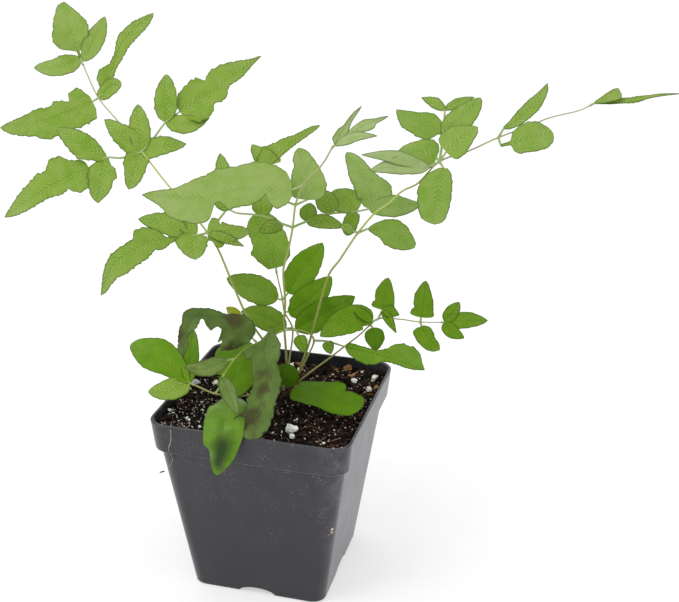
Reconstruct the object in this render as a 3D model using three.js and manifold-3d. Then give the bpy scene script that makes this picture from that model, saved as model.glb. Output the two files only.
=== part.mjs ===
// A young fern in a small square nursery pot, in millimetres, with +Z up.
// The origin is the middle of the pot's flat underside; the front of the pot looks along -Y.
// The fern has broad leaflets: each frond is a stem, and along it stand side sprays (a thin stalk
// with several leaflets) or single leaflets on stalks of their own.
import * as THREE from "three";
import { mergeVertices } from "three/addons/utils/BufferGeometryUtils.js";
import Module from "manifold-3d";

const wasm = await Module();
wasm.setup();

// ---- driving dimensions ----

// The pot: half widths across the flats, measured at each height.
const POT_HEIGHT = 108;
const POT_TOP = 55; // half the outer width at the lip
const POT_BOTTOM = 38; // half the outer width at the floor
const RIM_HEIGHT = 17; // the plain band round the top
const RIM_TAPER = 1.6; // how far the band draws in towards its lower edge
const RIM_STEP = 2.4; // how far the band stands proud of the wall
const LIP = 0.7; // rounding of the band's top edge
const BAND_EDGE = 0.5; // height of the slope under the band
const LEDGE = 1; // height of the slope inside, where the wall widens into the band
const WALL = 1.6;
const FLOOR = 2.2;
const CORNER_TOP = 10; // corner radius at the lip
const CORNER_BOTTOM = 7; // corner radius at the floor
const CORNER_STEPS = 4;
const NOTCH_WIDTH = 21; // the arched drain notch in the middle of each bottom edge
const NOTCH_HEIGHT = 4;
const NOTCH_DEPTH = 9;
const NOTCH_STEPS = 8; // straight pieces in its arch

// The growing mix.
const MIX_EDGE = 101; // its level along the walls
const MIX_MIDDLE = 102; // its level in the middle
const MIX_FLAT = 33; // half the width of its level middle

// The crown, the woody knob that every stem grows from.
const CROWN_X = 3;
const CROWN_Y = 14;
const CROWN_TOP = 106;
const CROWN_ROOT = 92;
const CROWN_RADIUS = 9;
const CROWN_SIDES = 12;
// Its outline from the root up: [share of its radius, share of its height].
const CROWN_OUTLINE = [[0, 0], [0.65, 0], [1, 0.35], [0.9, 0.8], [0.7, 1], [0, 1]];

const GAP = 0.3; // the clearance between pieces that touch
const SAME_POINT = 1e-4; // two vertices nearer than this are one

// Leaf blades.
const BLADE_THICK = 0.5;
const BLADE_KEEL = 0.16; // how far each edge lifts above the midrib, as a share of the half width
const BLADE_ARCH = 0.07; // how far a blade with no stated bend arches, as a share of its length
const STALK_RADIUS = 0.5;
const STALK_TAPER = 0.8; // a stalk's radius at its end, as a share of the one at its start
const STALK_SIDES = 5;
const STEM_SIDES = 6;
const STEM_STEPS = 2; // straight pieces between two of a stem's points
const SHALLOWEST = 0.35; // sine of the smallest angle that a stalk makes with its stem
const BLADE_SEAT = 1.6; // how far a blade's foot runs back into its stalk
const FOOT_HALF = 0.7; // half the width of a blade's foot
const TIP_HALF = 0.35; // half the width of a blade's tip

// Half widths along a blade, as shares of its widest half: [along, left, right].
const OUTLINES = {
  oval: [[0.15, 0.75, 0.7], [0.4, 1, 1], [0.7, 0.78, 0.8], [0.9, 0.36, 0.36]],
  broad: [[0.1, 0.6, 0.8], [0.3, 0.9, 0.7], [0.45, 0.7, 0.8], [0.62, 0.9, 1], [0.82, 0.4, 0.7]],
  lance: [[0.2, 0.8, 0.75], [0.45, 1, 1], [0.75, 0.6, 0.6]],
  blunt: [[0.14, 0.7, 0.75], [0.4, 0.95, 1], [0.75, 1, 0.9], [0.93, 0.6, 0.55]],
  eared: [[0.08, 1, 0.9], [0.22, 0.82, 0.8], [0.5, 0.8, 0.8], [0.8, 0.42, 0.45]],
  lobed: [[0.1, 0.6, 0.8], [0.22, 1, 0.9], [0.34, 0.72, 0.95], [0.5, 0.8, 0.6], [0.75, 0.45, 0.4]],
  wilted: [[0.15, 0.8, 1], [0.3, 0.9, 0.6], [0.5, 0.7, 1], [0.7, 0.6, 0.6], [0.88, 0.7, 0.5]],
};

// ---- finishes ----

function finish(color, roughness) {
  return new THREE.MeshStandardMaterial({ color, roughness, metalness: 0 });
}

const PLASTIC = finish(0x47474b, 0.5);
const MIX = finish(0x2a1d15, 1);
const WOODY = finish(0x6b4a2c, 0.9);
const STEM = finish(0x8f9a45, 0.6);
const LEAF = finish(0x5f9a22, 0.55);
const WILTED = finish(0x66803c, 0.7);

// ---- the plant ----

// A leaflet: its outline, the point of its stalk that it grows from, its tip, its width, and, where
// it bends more than a little, the points that its midrib runs through on the way to the tip.
const leaflet = (outline, at, tip, width, via = []) => ({ outline, at, tip, width, via });

// A spray: its name, the point of the stem that it grows from, its stalk's points, and its leaflets.
const spray = (name, joint, stalk, leaflets, look = LEAF) => ({ name, joint, stalk, leaflets, look });

// Every frond has a name, the way its leaves face, its stem's radius at the crown and at the end,
// the points that its stem runs through, and its sprays.
const FRONDS = [
  {
    name: "left_frond",
    facing: [22, -74, 63],
    radius: [1.0, 0.5],
    stem: [
      [-1, 15, 107], [-9, 17, 124], [-22, 17, 143], [-31, 19, 161], [-41, 23, 180], [-47, 24, 188],
      [-54, 26, 195], [-72, 32, 210], [-92, 42, 226], [-113, 58, 238], [-131, 71, 248], [-148, 88, 263],
    ],
    sprays: [
      spray("stem_leaflet", 2, [[-25, 14, 143]], [leaflet("oval", 1, [-34, 16, 148], 6)]),
      spray("low_outer_spray", 5, [[-53, 21, 187], [-58, 20, 187], [-62, 18, 186]], [
        leaflet("lobed", 3, [-93, -19, 162], 21, [[-76, 7, 184], [-89, -8, 176]]),
        leaflet("oval", 2, [-86, 19, 193], 12),
        leaflet("oval", 1, [-66, 28, 195], 9),
        leaflet("blunt", 1, [-48, 9, 175], 15),
      ]),
      spray("low_inner_spray", 5, [[-43, 33, 194], [-40, 40, 199], [-34, 52, 209], [-28, 63, 216]], [
        leaflet("oval", 1, [-25, 32, 189], 14),
        leaflet("lance", 1, [-26, 25, 182], 6),
        leaflet("oval", 2, [-53, 63, 223], 10),
        leaflet("oval", 3, [-37, 73, 227], 13),
        leaflet("lance", 4, [-2, 94, 236], 13),
      ]),
      spray("high_outer_spray", 8, [[-102, 37, 223], [-111, 34, 223], [-119, 29, 218]], [
        leaflet("oval", 1, [-116, 46, 242], 12),
        leaflet("oval", 1, [-93, 29, 206], 14),
        leaflet("oval", 2, [-140, 35, 238], 14),
        leaflet("blunt", 2, [-109, 19, 200], 16),
        leaflet("lobed", 3, [-158, 0, 194], 22),
      ]),
      spray("high_inner_spray", 8, [[-87, 48, 233], [-82, 55, 241], [-76, 61, 246]], [
        leaflet("oval", 1, [-98, 56, 251], 12),
        leaflet("oval", 1, [-68, 51, 229], 12),
        leaflet("oval", 2, [-87, 70, 265], 13),
        leaflet("lance", 2, [-60, 63, 241], 10),
        leaflet("lobed", 3, [-38, 95, 274], 24, [[-60, 74, 256]]),
      ]),
      spray("top_outer_leaflet", 10, [[-134, 69, 246]], [
        leaflet("lobed", 1, [-181, 43, 233], 22, [[-155, 54, 237]]),
      ]),
      spray("top_inner_leaflet", 10, [[-128, 74, 252]], [
        leaflet("lobed", 1, [-112, 113, 292], 10, [[-127, 82, 260], [-125, 96, 276]]),
      ]),
      spray("end_leaflets", 11, [[-151, 91, 266]], [
        leaflet("oval", 1, [-167, 106, 297], 21),
        leaflet("oval", 1, [-142, 109, 289], 12),
        leaflet("oval", 1, [-177, 81, 261], 13),
      ]),
    ],
  },
  {
    name: "middle_frond",
    facing: [15, -56, 81],
    radius: [1.0, 0.5],
    stem: [
      [3, 11, 107], [2, 12, 127], [1, 12, 145], [2, 11, 157], [2, 8, 177], [6, 4, 190],
      [10, -1, 205], [14, -9, 220], [21, -19, 234], [36, -39, 251], [45, -54, 264],
    ],
    sprays: [
      spray("outer_spray", 6, [[4, 0, 206], [-7, 1, 209], [-21, -1, 210], [-25, 0, 211]], [
        leaflet("oval", 1, [-6, -8, 203], 9),
        leaflet("oval", 2, [-11, 13, 218], 11),
        leaflet("oval", 4, [-34, 4, 216], 9),
      ]),
      spray("inner_spray", 6, [[16, 5, 207], [27, 12, 210], [39, 16, 211], [46, 20, 212]], [
        leaflet("oval", 1, [15, 15, 214], 7),
        leaflet("oval", 1, [36, 3, 201], 9),
        leaflet("oval", 2, [19, 23, 219], 10),
        leaflet("oval", 3, [33, 28, 220], 12),
        leaflet("blunt", 3, [38, 3, 202], 8),
        leaflet("oval", 4, [26, 47, 234], 20),
        leaflet("lance", 4, [71, 32, 216], 14),
      ]),
      spray("long_leaflet", 8, [[16, -22, 232]], [
        leaflet("broad", 1, [-54, -45, 230], 29, [[-8, -30, 232], [-26, -38, 229]]),
      ]),
      spray("upright_leaflet", 7, [[19, -5, 222]], [leaflet("blunt", 1, [7, 20, 242], 18, [[17, 5, 229]])]),
      spray("short_leaflet", 7, [[9, -11, 222]], [leaflet("oval", 1, [-3, -3, 237], 13)]),
      spray("end_leaflets", 10, [[47, -56, 266]], [
        leaflet("lance", 1, [52, -28, 278], 10),
        leaflet("lance", 1, [70, -52, 280], 13),
        leaflet("lance", 1, [68, -65, 274], 9),
      ]),
    ],
  },
  {
    name: "right_frond",
    facing: [0, -60, 80],
    radius: [1.0, 0.4],
    stem: [
      [6, 18, 107], [13, 20, 130], [20, 17, 156], [27, 11, 177], [33, 8, 186], [44, 3, 204],
      [53, 2, 216], [60, 1, 222], [67, 2, 229], [74, 3, 233], [84, 8, 244], [97, 18, 248],
      [110, 30, 253], [125, 40, 258], [133, 46, 261], [148, 56, 264], [153, 60, 266],
    ],
    sprays: [
      spray("low_leaflet", 5, [[49, 6, 206]], [leaflet("blunt", 1, [75, 0, 202], 16, [[60, 5, 207]])]),
      spray("small_leaflet", 5, [[42, 0, 206]], [leaflet("oval", 1, [36, -3, 209], 7)]),
      spray("inner_leaflets", 10, [[80, 1, 243]], [
        leaflet("lance", 1, [46, -1, 247], 8),
        leaflet("oval", 1, [52, -7, 241], 11),
      ]),
      spray("left_leaflet", 10, [[82, 11, 245]], [leaflet("oval", 1, [62, 13, 247], 14)]),
      spray("right_leaflet", 10, [[87, 9, 249]], [leaflet("oval", 1, [102, 18, 262], 15)]),
      spray("hanging_leaflet", 10, [[87, 4, 242]], [leaflet("blunt", 1, [90, -21, 222], 17)]),
      spray("upper_spray", 10, [[83, 22, 254], [81, 35, 264]], [
        leaflet("oval", 1, [56, 33, 263], 15),
        leaflet("oval", 1, [98, 43, 270], 14),
        leaflet("lance", 2, [67, 43, 268], 6),
        leaflet("lance", 2, [94, 48, 269], 6),
      ]),
      spray("outer_high_leaflet", 12, [[112, 34, 257]], [leaflet("lance", 1, [131, 61, 276], 8)]),
      spray("outer_low_leaflet", 12, [[112, 26, 250]], [leaflet("blunt", 1, [135, 29, 254], 15)]),
      spray("end_leaflets", 16, [[155, 62, 267]], [
        leaflet("oval", 1, [165, 70, 274], 8),
        leaflet("lance", 1, [196, 70, 272], 6),
      ]),
    ],
  },
  {
    name: "short_frond",
    facing: [15, -90, 38],
    radius: [0.8, 0.5],
    stem: [[1, 19, 107], [0, 25, 116], [0, 31, 133], [-6, 35, 141], [-8, 38, 147], [-14, 46, 160]],
    sprays: [
      spray("low_right_leaflet", 2, [[3, 28, 134]], [leaflet("oval", 1, [33, 45, 151], 16)]),
      spray("low_left_leaflet", 2, [[-3, 28, 134]], [leaflet("oval", 1, [-29, 26, 141], 14)]),
      spray("middle_right_leaflet", 3, [[-3, 33, 142]], [leaflet("oval", 1, [17, 50, 161], 16)]),
      spray("high_right_leaflet", 4, [[-5, 39, 151]], [leaflet("oval", 1, [9, 62, 175], 17)]),
      spray("high_left_leaflet", 4, [[-11, 38, 147]], [leaflet("oval", 1, [-42, 39, 156], 15)]),
      spray("end_leaflet", 5, [[-15, 48, 162]], [leaflet("blunt", 1, [-33, 65, 187], 21)]),
    ],
  },
  {
    name: "side_frond",
    facing: [20, -70, 68],
    radius: [0.8, 0.35],
    stem: [
      [7, 12, 107], [13, 13, 113], [26, 18, 124], [34, 21, 131], [41, 24, 137],
      [46, 28, 142], [50, 31, 145], [61, 36, 144], [72, 40, 142], [83, 45, 141],
    ],
    sprays: [
      spray("under_leaflet", 5, [[48, 27, 141]], [leaflet("oval", 1, [52, 19, 131], 11)]),
      spray("back_leaflets", 6, [[47, 28, 144]], [
        leaflet("oval", 1, [22, 13, 137], 16),
        leaflet("lance", 1, [33, 30, 152], 6),
      ]),
      spray("eared_leaflets", 6, [[51, 35, 149]], [
        leaflet("eared", 1, [51, 49, 163], 12),
        leaflet("lance", 1, [61, 35, 147], 7),
        leaflet("lance", 1, [61, 28, 139], 5),
      ]),
      spray("high_leaflet", 8, [[72, 42, 144]], [leaflet("eared", 1, [71, 58, 160], 12)]),
      spray("low_leaflet", 8, [[73, 39, 140]], [leaflet("oval", 1, [85, 32, 130], 12)]),
      spray("end_leaflets", 9, [[85, 46, 141]], [
        leaflet("oval", 1, [91, 56, 150], 8),
        leaflet("oval", 1, [108, 53, 142], 10),
        leaflet("oval", 1, [98, 41, 134], 8),
      ]),
    ],
  },
  {
    name: "old_frond",
    facing: [12, -75, 65],
    radius: [0.8, 0.4],
    stem: [
      [5, 15, 107], [9, 17, 114], [13, 16, 123], [17, 16, 134], [15, 12, 140], [10, 5, 144],
      [5, -2, 146], [0, -11, 145], [-5, -17, 144], [-9, -23, 143], [-12, -33, 141], [-14, -44, 137],
    ],
    sprays: [
      spray("right_spray", 3, [[24, 17, 134], [35, 17, 132]], [
        leaflet("oval", 1, [28, 12, 129], 6),
        leaflet("lobed", 2, [80, 15, 125], 15),
      ]),
      spray("small_leaflet", 5, [[12, 3, 142]], [leaflet("oval", 1, [17, -3, 135], 7)]),
      spray(
        "arched_leaflet",
        8,
        [[-8, -16, 146]],
        [leaflet("wilted", 1, [-41, -33, 138], 13, [[-24, -18, 157], [-38, -23, 157]])],
        WILTED,
      ),
      spray(
        "hanging_leaflet",
        8,
        [[-4, -19, 145]],
        [leaflet("blunt", 1, [-2, -55, 111], 20, [[4, -28, 144], [7, -36, 129], [4, -46, 117]])],
        WILTED,
      ),
      spray("curled_leaflet", 10, [[-16, -33, 141]], [leaflet("oval", 1, [-36, -44, 139], 9)], WILTED),
      spray("narrow_leaflet", 11, [[-14, -46, 135]], [leaflet("lance", 1, [-3, -60, 121], 7)], WILTED),
    ],
  },
  {
    name: "front_frond",
    facing: [0, -50, 85],
    radius: [0.9, 0.6],
    stem: [[-1, 10, 107], [-4, -4, 111], [-9, -18, 113], [-17, -27, 116], [-24, -31, 118], [-37, -28, 120]],
    sprays: [
      spray("broad_leaflet", 4, [[-23, -28, 120]], [leaflet("blunt", 1, [-23, 0, 136], 25)]),
      spray("rim_leaflet", 3, [[-16, -30, 116]], [
        leaflet("oval", 1, [-15, -61, 87], 22, [[-16, -43, 117], [-15, -56, 112], [-14, -61, 101]]),
      ]),
      spray("end_leaflets", 5, [[-40, -28, 121]], [
        leaflet("oval", 1, [-49, 3, 138], 10),
        leaflet("blunt", 1, [-79, -11, 130], 22),
        leaflet("oval", 1, [-60, -36, 115], 14),
      ]),
    ],
  },
];

// Two low leaflets have no stem between them and the crown: their stalks rise straight from it.
const CROWN_LEAFLETS = [
  {
    name: "low_leaflet",
    facing: [10, -45, 90],
    stalk: [[8, 10, 107], [10, 6, 110]],
    leaflets: [leaflet("blunt", 1, [53, -16, 114], 21)],
  },
  {
    name: "upright_leaflet",
    facing: [15, -90, 40],
    stalk: [[2, 7, 106], [3, 4, 110]],
    leaflets: [leaflet("oval", 1, [4, 7, 124], 11)],
  },
];

// ---- solids ----

// A closed mesh geometry, with only its positions, as a solid that can be joined and cut.
function solidOf(geometry) {
  const bare = new THREE.BufferGeometry();
  bare.setAttribute("position", geometry.getAttribute("position"));
  bare.setIndex(geometry.getIndex());
  const merged = mergeVertices(bare, SAME_POINT);
  return new wasm.Manifold(
    new wasm.Mesh({
      numProp: 3,
      vertProperties: merged.attributes.position.array,
      triVerts: new Uint32Array(merged.index.array),
    }),
  );
}

function geometryOf(solid) {
  const mesh = solid.getMesh();
  const geometry = new THREE.BufferGeometry();
  geometry.setAttribute("position", new THREE.BufferAttribute(mesh.vertProperties, 3));
  geometry.setIndex(new THREE.BufferAttribute(mesh.triVerts, 1));
  geometry.computeVertexNormals();
  return geometry;
}

// A closed surface through loops of points that all have the same count, capped at both ends. Each
// loop turns anticlockwise when it is seen from the way that the loops advance.
function loft(loops) {
  const positions = loops.flat().flatMap((point) => point.toArray());
  const count = loops[0].length;
  const faces = [];
  for (let row = 0; row + 1 < loops.length; row++) {
    for (let i = 0; i < count; i++) {
      const next = (i + 1) % count;
      const low = row * count;
      const high = low + count;
      faces.push(low + i, low + next, high + next);
      faces.push(low + i, high + next, high + i);
    }
  }
  const last = (loops.length - 1) * count;
  for (let i = 1; i + 1 < count; i++) {
    faces.push(0, i + 1, i);
    faces.push(last, last + i, last + i + 1);
  }
  const geometry = new THREE.BufferGeometry();
  geometry.setAttribute("position", new THREE.Float32BufferAttribute(positions, 3));
  geometry.setIndex(faces);
  return geometry;
}

function nodeMesh(name, solid, material) {
  const mesh = new THREE.Mesh(geometryOf(solid), material);
  mesh.name = name;
  return mesh;
}

// ---- the pot ----

// A level square with rounded corners, given half its width.
function roundedSquare(half, radius, z) {
  const points = [];
  for (let corner = 0; corner < 4; corner++) {
    const middle = Math.PI / 4 + (corner * Math.PI) / 2;
    const x = Math.sign(Math.cos(middle)) * (half - radius);
    const y = Math.sign(Math.sin(middle)) * (half - radius);
    for (let step = 0; step <= CORNER_STEPS; step++) {
      const angle = middle + (step / CORNER_STEPS - 0.5) * (Math.PI / 2);
      points.push(new THREE.Vector3(x + radius * Math.cos(angle), y + radius * Math.sin(angle), z));
    }
  }
  return points;
}

const RIM_LOW = POT_HEIGHT - RIM_HEIGHT;
const LEDGE_HIGH = RIM_LOW + WALL; // the inside widens into the band just above the band's foot
const LEDGE_LOW = LEDGE_HIGH - LEDGE;
const WALL_TOP = POT_TOP - RIM_TAPER - RIM_STEP; // half the wall's outer width just under the band

// Half the outer width of the tapering wall, and its corner radius, at a height.
const wallHalf = (z) => POT_BOTTOM + (WALL_TOP - POT_BOTTOM) * (z / RIM_LOW);
const wallCorner = (z) => CORNER_BOTTOM + (CORNER_TOP - CORNER_BOTTOM) * (z / POT_HEIGHT);

// Half the room between the band's walls at a height.
const bandRoom = (z) => POT_TOP - WALL - (RIM_TAPER * (POT_HEIGHT - z)) / (POT_HEIGHT - LEDGE_HIGH);

function makePot() {
  const underBand = RIM_LOW - BAND_EDGE;
  const shell = solidOf(
    loft([
      roundedSquare(wallHalf(0), wallCorner(0), 0),
      roundedSquare(wallHalf(underBand), wallCorner(underBand), underBand),
      roundedSquare(POT_TOP - RIM_TAPER, CORNER_TOP, RIM_LOW),
      roundedSquare(POT_TOP, CORNER_TOP, POT_HEIGHT - LIP),
      roundedSquare(POT_TOP - LIP, CORNER_TOP - LIP, POT_HEIGHT),
      roundedSquare(POT_TOP - WALL, CORNER_TOP - WALL, POT_HEIGHT),
      roundedSquare(bandRoom(LEDGE_HIGH), CORNER_TOP - WALL, LEDGE_HIGH),
      roundedSquare(wallHalf(LEDGE_LOW) - WALL, wallCorner(LEDGE_LOW) - WALL, LEDGE_LOW),
      roundedSquare(wallHalf(FLOOR) - WALL, wallCorner(FLOOR) - WALL, FLOOR),
    ]),
  );
  return [0, 1, 2, 3].reduce((pot, side) => pot.subtract(makeNotch(side)), shell);
}

// The arched cutter of a drain notch, in the middle of one bottom edge.
function makeNotch(side) {
  const arch = new THREE.Shape();
  arch.absellipse(0, 0, NOTCH_WIDTH / 2, NOTCH_HEIGHT, 0, Math.PI, false, 0);
  arch.lineTo(-NOTCH_WIDTH / 2, -NOTCH_HEIGHT);
  arch.lineTo(NOTCH_WIDTH / 2, -NOTCH_HEIGHT);
  const cutter = new THREE.ExtrudeGeometry(arch, {
    depth: NOTCH_DEPTH * 2,
    bevelEnabled: false,
    curveSegments: NOTCH_STEPS,
  });
  cutter.rotateX(Math.PI / 2);
  cutter.translate(0, -POT_BOTTOM + NOTCH_DEPTH, 0);
  cutter.rotateZ((side * Math.PI) / 2);
  return solidOf(cutter);
}

// ---- the growing mix and the crown ----

// The crown, or with a growth the hollow that holds it.
function makeCrown(grow) {
  const height = CROWN_TOP - CROWN_ROOT + 2 * grow;
  const profile = CROWN_OUTLINE.map(([wide, high]) => {
    return new THREE.Vector2(wide * (CROWN_RADIUS + grow), CROWN_ROOT - grow + high * height);
  });
  const knob = new THREE.LatheGeometry(profile, CROWN_SIDES);
  knob.rotateX(Math.PI / 2);
  knob.translate(CROWN_X, CROWN_Y, 0);
  return solidOf(knob);
}

function makeMix() {
  const body = solidOf(
    loft([
      roundedSquare(wallHalf(FLOOR) - WALL - GAP, wallCorner(FLOOR) - WALL, FLOOR + GAP),
      roundedSquare(wallHalf(LEDGE_LOW) - WALL - GAP, wallCorner(LEDGE_LOW) - WALL, LEDGE_LOW),
      roundedSquare(bandRoom(LEDGE_HIGH) - GAP, CORNER_TOP - WALL, LEDGE_HIGH + GAP),
      roundedSquare(bandRoom(MIX_EDGE) - GAP, CORNER_TOP - WALL, MIX_EDGE),
      roundedSquare(MIX_FLAT, CORNER_TOP, MIX_MIDDLE),
    ]),
  );
  return body.subtract(makeCrown(GAP));
}

// ---- stems, stalks and blades ----

const vector = (point) => new THREE.Vector3(...point);

// A round tube with closed ends along a smooth line through the points; its radius eases from one
// end's value to the other's.
function makeTube(points, radii, sides, steps) {
  const route = new THREE.CatmullRomCurve3(points, false, "centripetal");
  const frames = route.computeFrenetFrames(steps, false);
  const loops = [];
  for (let i = 0; i <= steps; i++) {
    const share = i / steps;
    const centre = route.getPointAt(share);
    const radius = radii[0] + (radii[1] - radii[0]) * share;
    const loop = [];
    for (let k = 0; k < sides; k++) {
      const angle = (k / sides) * Math.PI * 2;
      const across = frames.normals[i].clone().multiplyScalar(radius * Math.cos(angle));
      const along = frames.binormals[i].clone().multiplyScalar(radius * Math.sin(angle));
      loop.push(centre.clone().add(across).add(along));
    }
    loops.push(loop);
  }
  return solidOf(loft(loops));
}

// A blade: a thin keeled strip along the midrib, as wide as its outline says, with its upper face
// turned the way that the frond faces. It narrows to a foot, which is the start of its own stalk
// where one is given, and otherwise runs a little way back into the spray's stalk.
function makeBlade(base, facing, { outline, tip, width, via }, stalkStart) {
  const face = vector(facing).normalize();
  const end = vector(tip);
  const span = end.clone().sub(base);
  const heading = span.clone().normalize();
  const bends = via.map(vector);
  if (!bends.length) {
    const rise = face.clone().addScaledVector(heading, -face.dot(heading)).normalize();
    const middle = base.clone().addScaledVector(span, 0.5);
    bends.push(middle.addScaledVector(rise, BLADE_ARCH * span.length()));
  }
  const midrib = new THREE.CatmullRomCurve3([base, ...bends, end], false, "centripetal");
  const shoulder = midrib.getPointAt(OUTLINES[outline][0][0]);
  const foot = stalkStart ?? base.clone().addScaledVector(shoulder.sub(base).normalize(), -BLADE_SEAT);
  const footShare = (FOOT_HALF * 2) / width;
  const tipShare = (TIP_HALF * 2) / width;
  const stations = [[0, footShare, footShare], ...OUTLINES[outline], [1, tipShare, tipShare]];
  const loops = stations.map(([along, left, right]) => {
    const middle = along ? midrib.getPointAt(along) : foot;
    const tangent = midrib.getTangentAt(along);
    const normal = face.clone().addScaledVector(tangent, -face.dot(tangent)).normalize();
    const side = tangent.clone().cross(normal);
    const lift = normal.clone().multiplyScalar(BLADE_THICK / 2);
    const edge = (share) =>
      middle
        .clone()
        .addScaledVector(side, (share * width) / 2)
        .addScaledVector(normal, (Math.abs(share) * width * BLADE_KEEL) / 2);
    const row = [edge(-left), middle, edge(right)];
    const top = row.map((point) => point.clone().add(lift));
    const bottom = row.map((point) => point.clone().sub(lift));
    return [...top, ...bottom.reverse()];
  });
  return solidOf(loft(loops));
}

// A spray is its stalk and its blades as one grown piece. A lone leaflet's stalk is its blade's foot.
function makeSpray(stalk, facing, leaflets) {
  if (leaflets.length === 1 && stalk.length === 2) {
    return makeBlade(stalk[1], facing, leaflets[0], stalk[0]);
  }
  const tube = makeTube(stalk, [STALK_RADIUS, STALK_RADIUS * STALK_TAPER], STALK_SIDES, stalk.length - 1);
  return leaflets.reduce((piece, one) => piece.add(makeBlade(stalk[one.at], facing, one)), tube);
}

// The start of a stalk, moved along it until the stalk's end clears the stem by the gap.
function clearOfStem(joint, next, tangent, stemRadius, atEnd) {
  const way = next.clone().sub(joint).normalize();
  if (atEnd) return joint.clone().addScaledVector(way, GAP);
  const cosine = Math.abs(way.dot(tangent));
  const sine = Math.max(Math.sqrt(1 - cosine * cosine), SHALLOWEST);
  return joint.clone().addScaledVector(way, (stemRadius + GAP + FOOT_HALF * cosine) / sine);
}

// ---- the scene ----

const plant = new THREE.Group();
plant.add(nodeMesh("pot", makePot(), PLASTIC));
plant.add(nodeMesh("potting_mix", makeMix(), MIX));
plant.add(nodeMesh("crown", makeCrown(0), WOODY));

for (const frond of FRONDS) {
  const points = frond.stem.map(vector);
  const [thick, thin] = frond.radius;
  const stem = makeTube(points, [thick, thin], STEM_SIDES, (points.length - 1) * STEM_STEPS);
  plant.add(nodeMesh(frond.name + "_stem", stem, STEM));
  const route = new THREE.CatmullRomCurve3(points, false, "centripetal");
  for (const { name, joint, stalk, leaflets, look } of frond.sprays) {
    const share = joint / (points.length - 1);
    const stemRadius = thick + (thin - thick) * share;
    const towards = vector(stalk[0]);
    const atEnd = joint === points.length - 1;
    const start = clearOfStem(points[joint], towards, route.getTangent(share), stemRadius, atEnd);
    const line = [start, ...stalk.map(vector)];
    plant.add(nodeMesh(frond.name + "_" + name, makeSpray(line, frond.facing, leaflets), look));
  }
}

for (const { name, facing, stalk, leaflets } of CROWN_LEAFLETS) {
  plant.add(nodeMesh("crown_" + name, makeSpray(stalk.map(vector), facing, leaflets), LEAF));
}

export default plant;
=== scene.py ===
# %% [markdown]
# # A potted fern
# A young fern with broad, stalked leaflets grows from one woody crown in a small square nursery pot. The
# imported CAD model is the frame: every piece below is made in metres, in the same place as the CAD node
# that it stands for. The plant's description is kept in millimetres, as it is in the CAD.

# %% Load the frame
import math

import bpy
import numpy as np
from mathutils import Matrix, Vector, noise


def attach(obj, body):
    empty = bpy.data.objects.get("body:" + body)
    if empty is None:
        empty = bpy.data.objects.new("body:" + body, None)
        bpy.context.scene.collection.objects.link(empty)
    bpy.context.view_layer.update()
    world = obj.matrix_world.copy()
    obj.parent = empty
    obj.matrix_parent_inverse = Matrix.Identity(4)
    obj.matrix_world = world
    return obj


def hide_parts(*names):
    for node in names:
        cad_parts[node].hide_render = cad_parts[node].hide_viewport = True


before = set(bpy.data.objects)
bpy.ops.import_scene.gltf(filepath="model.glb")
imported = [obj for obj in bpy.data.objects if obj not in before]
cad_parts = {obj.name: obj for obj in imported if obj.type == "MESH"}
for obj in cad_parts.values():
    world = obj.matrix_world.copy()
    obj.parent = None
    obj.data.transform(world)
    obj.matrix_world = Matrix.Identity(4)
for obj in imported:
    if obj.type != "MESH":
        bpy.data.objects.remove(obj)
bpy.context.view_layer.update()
MM = 0.001

# %% [markdown]
# ## Small helpers
# Colours could be typed as the linear numbers that a shader works with, but a hex code can be read off any
# screen, so `linear` turns one into the other. An operator acts on whatever is selected, so `only` selects
# just the objects that are meant.

# %% Colours and selections
def linear(code):
    """An sRGB hex colour as linear red, green, blue and alpha."""
    channels = [int(code[i : i + 2], 16) / 255 for i in (1, 3, 5)]
    return [c / 12.92 if c <= 0.04045 else ((c + 0.055) / 1.055) ** 2.4 for c in channels] + [1.0]


def only(*objects):
    """Selects these objects alone and makes the first of them active."""
    bpy.ops.object.select_all(action="DESELECT")
    for one in objects:
        one.select_set(True)
    bpy.context.view_layer.objects.active = objects[0]


print("mid grey in linear numbers", [round(v, 3) for v in linear("#808080")])

# %% [markdown]
# A material is a net of nodes, which could be wired by hand in the shader editor. Here `add` makes one node
# at a time. Each setting is an option of the node, the stops of its colour ramp, or one of its inputs, and
# an input takes a value or another node's output. A pattern's scale counts its repeats in a metre, so a
# speck every 1.4 mm has a scale of 700.

# %% Nodes
UNDER, OVER = 6, 7  # a Mix node's two colours are these inputs
MIXED = 2  # and its mixed colour is this output


def add(tree, kind, settings, out=0):
    """Adds a shader node with its settings and links, and returns one of its outputs."""
    node = tree.nodes.new("ShaderNode" + kind)
    for key, value in settings.items():
        if key == "stops":
            ramp = node.color_ramp
            while len(ramp.elements) < len(value):
                ramp.elements.new(1.0)
            for element, (place, colour) in zip(ramp.elements, value):
                element.position = place
                element.color = linear(colour)
        elif isinstance(key, str) and hasattr(node, key):
            setattr(node, key, value)
        elif isinstance(value, bpy.types.NodeSocket):
            tree.links.new(value, node.inputs[key])
        else:
            node.inputs[key].default_value = value
    return node.outputs[out] if node.outputs else None


print("inputs of a Mix node that take its colours", UNDER, OVER)

# %% [markdown]
# Every material starts as an empty net that reads the place on the piece, and most end in one surface
# shader. Both could be written out each time, but then a real difference between two materials would be
# hard to see.

# %% New materials
def new_material(name):
    """An empty node material, its tree, and the place on the piece as its patterns read it."""
    made = bpy.data.materials.new(name)
    made.use_nodes = True
    made.node_tree.nodes.clear()
    return made, made.node_tree, add(made.node_tree, "TexCoord", {}, "Object")


def close_material(tree, settings):
    """Ends a material's net in a surface with these settings."""
    add(tree, "OutputMaterial", {"Surface": add(tree, "BsdfPrincipled", settings)})


print("materials so far", len(bpy.data.materials))

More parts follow.
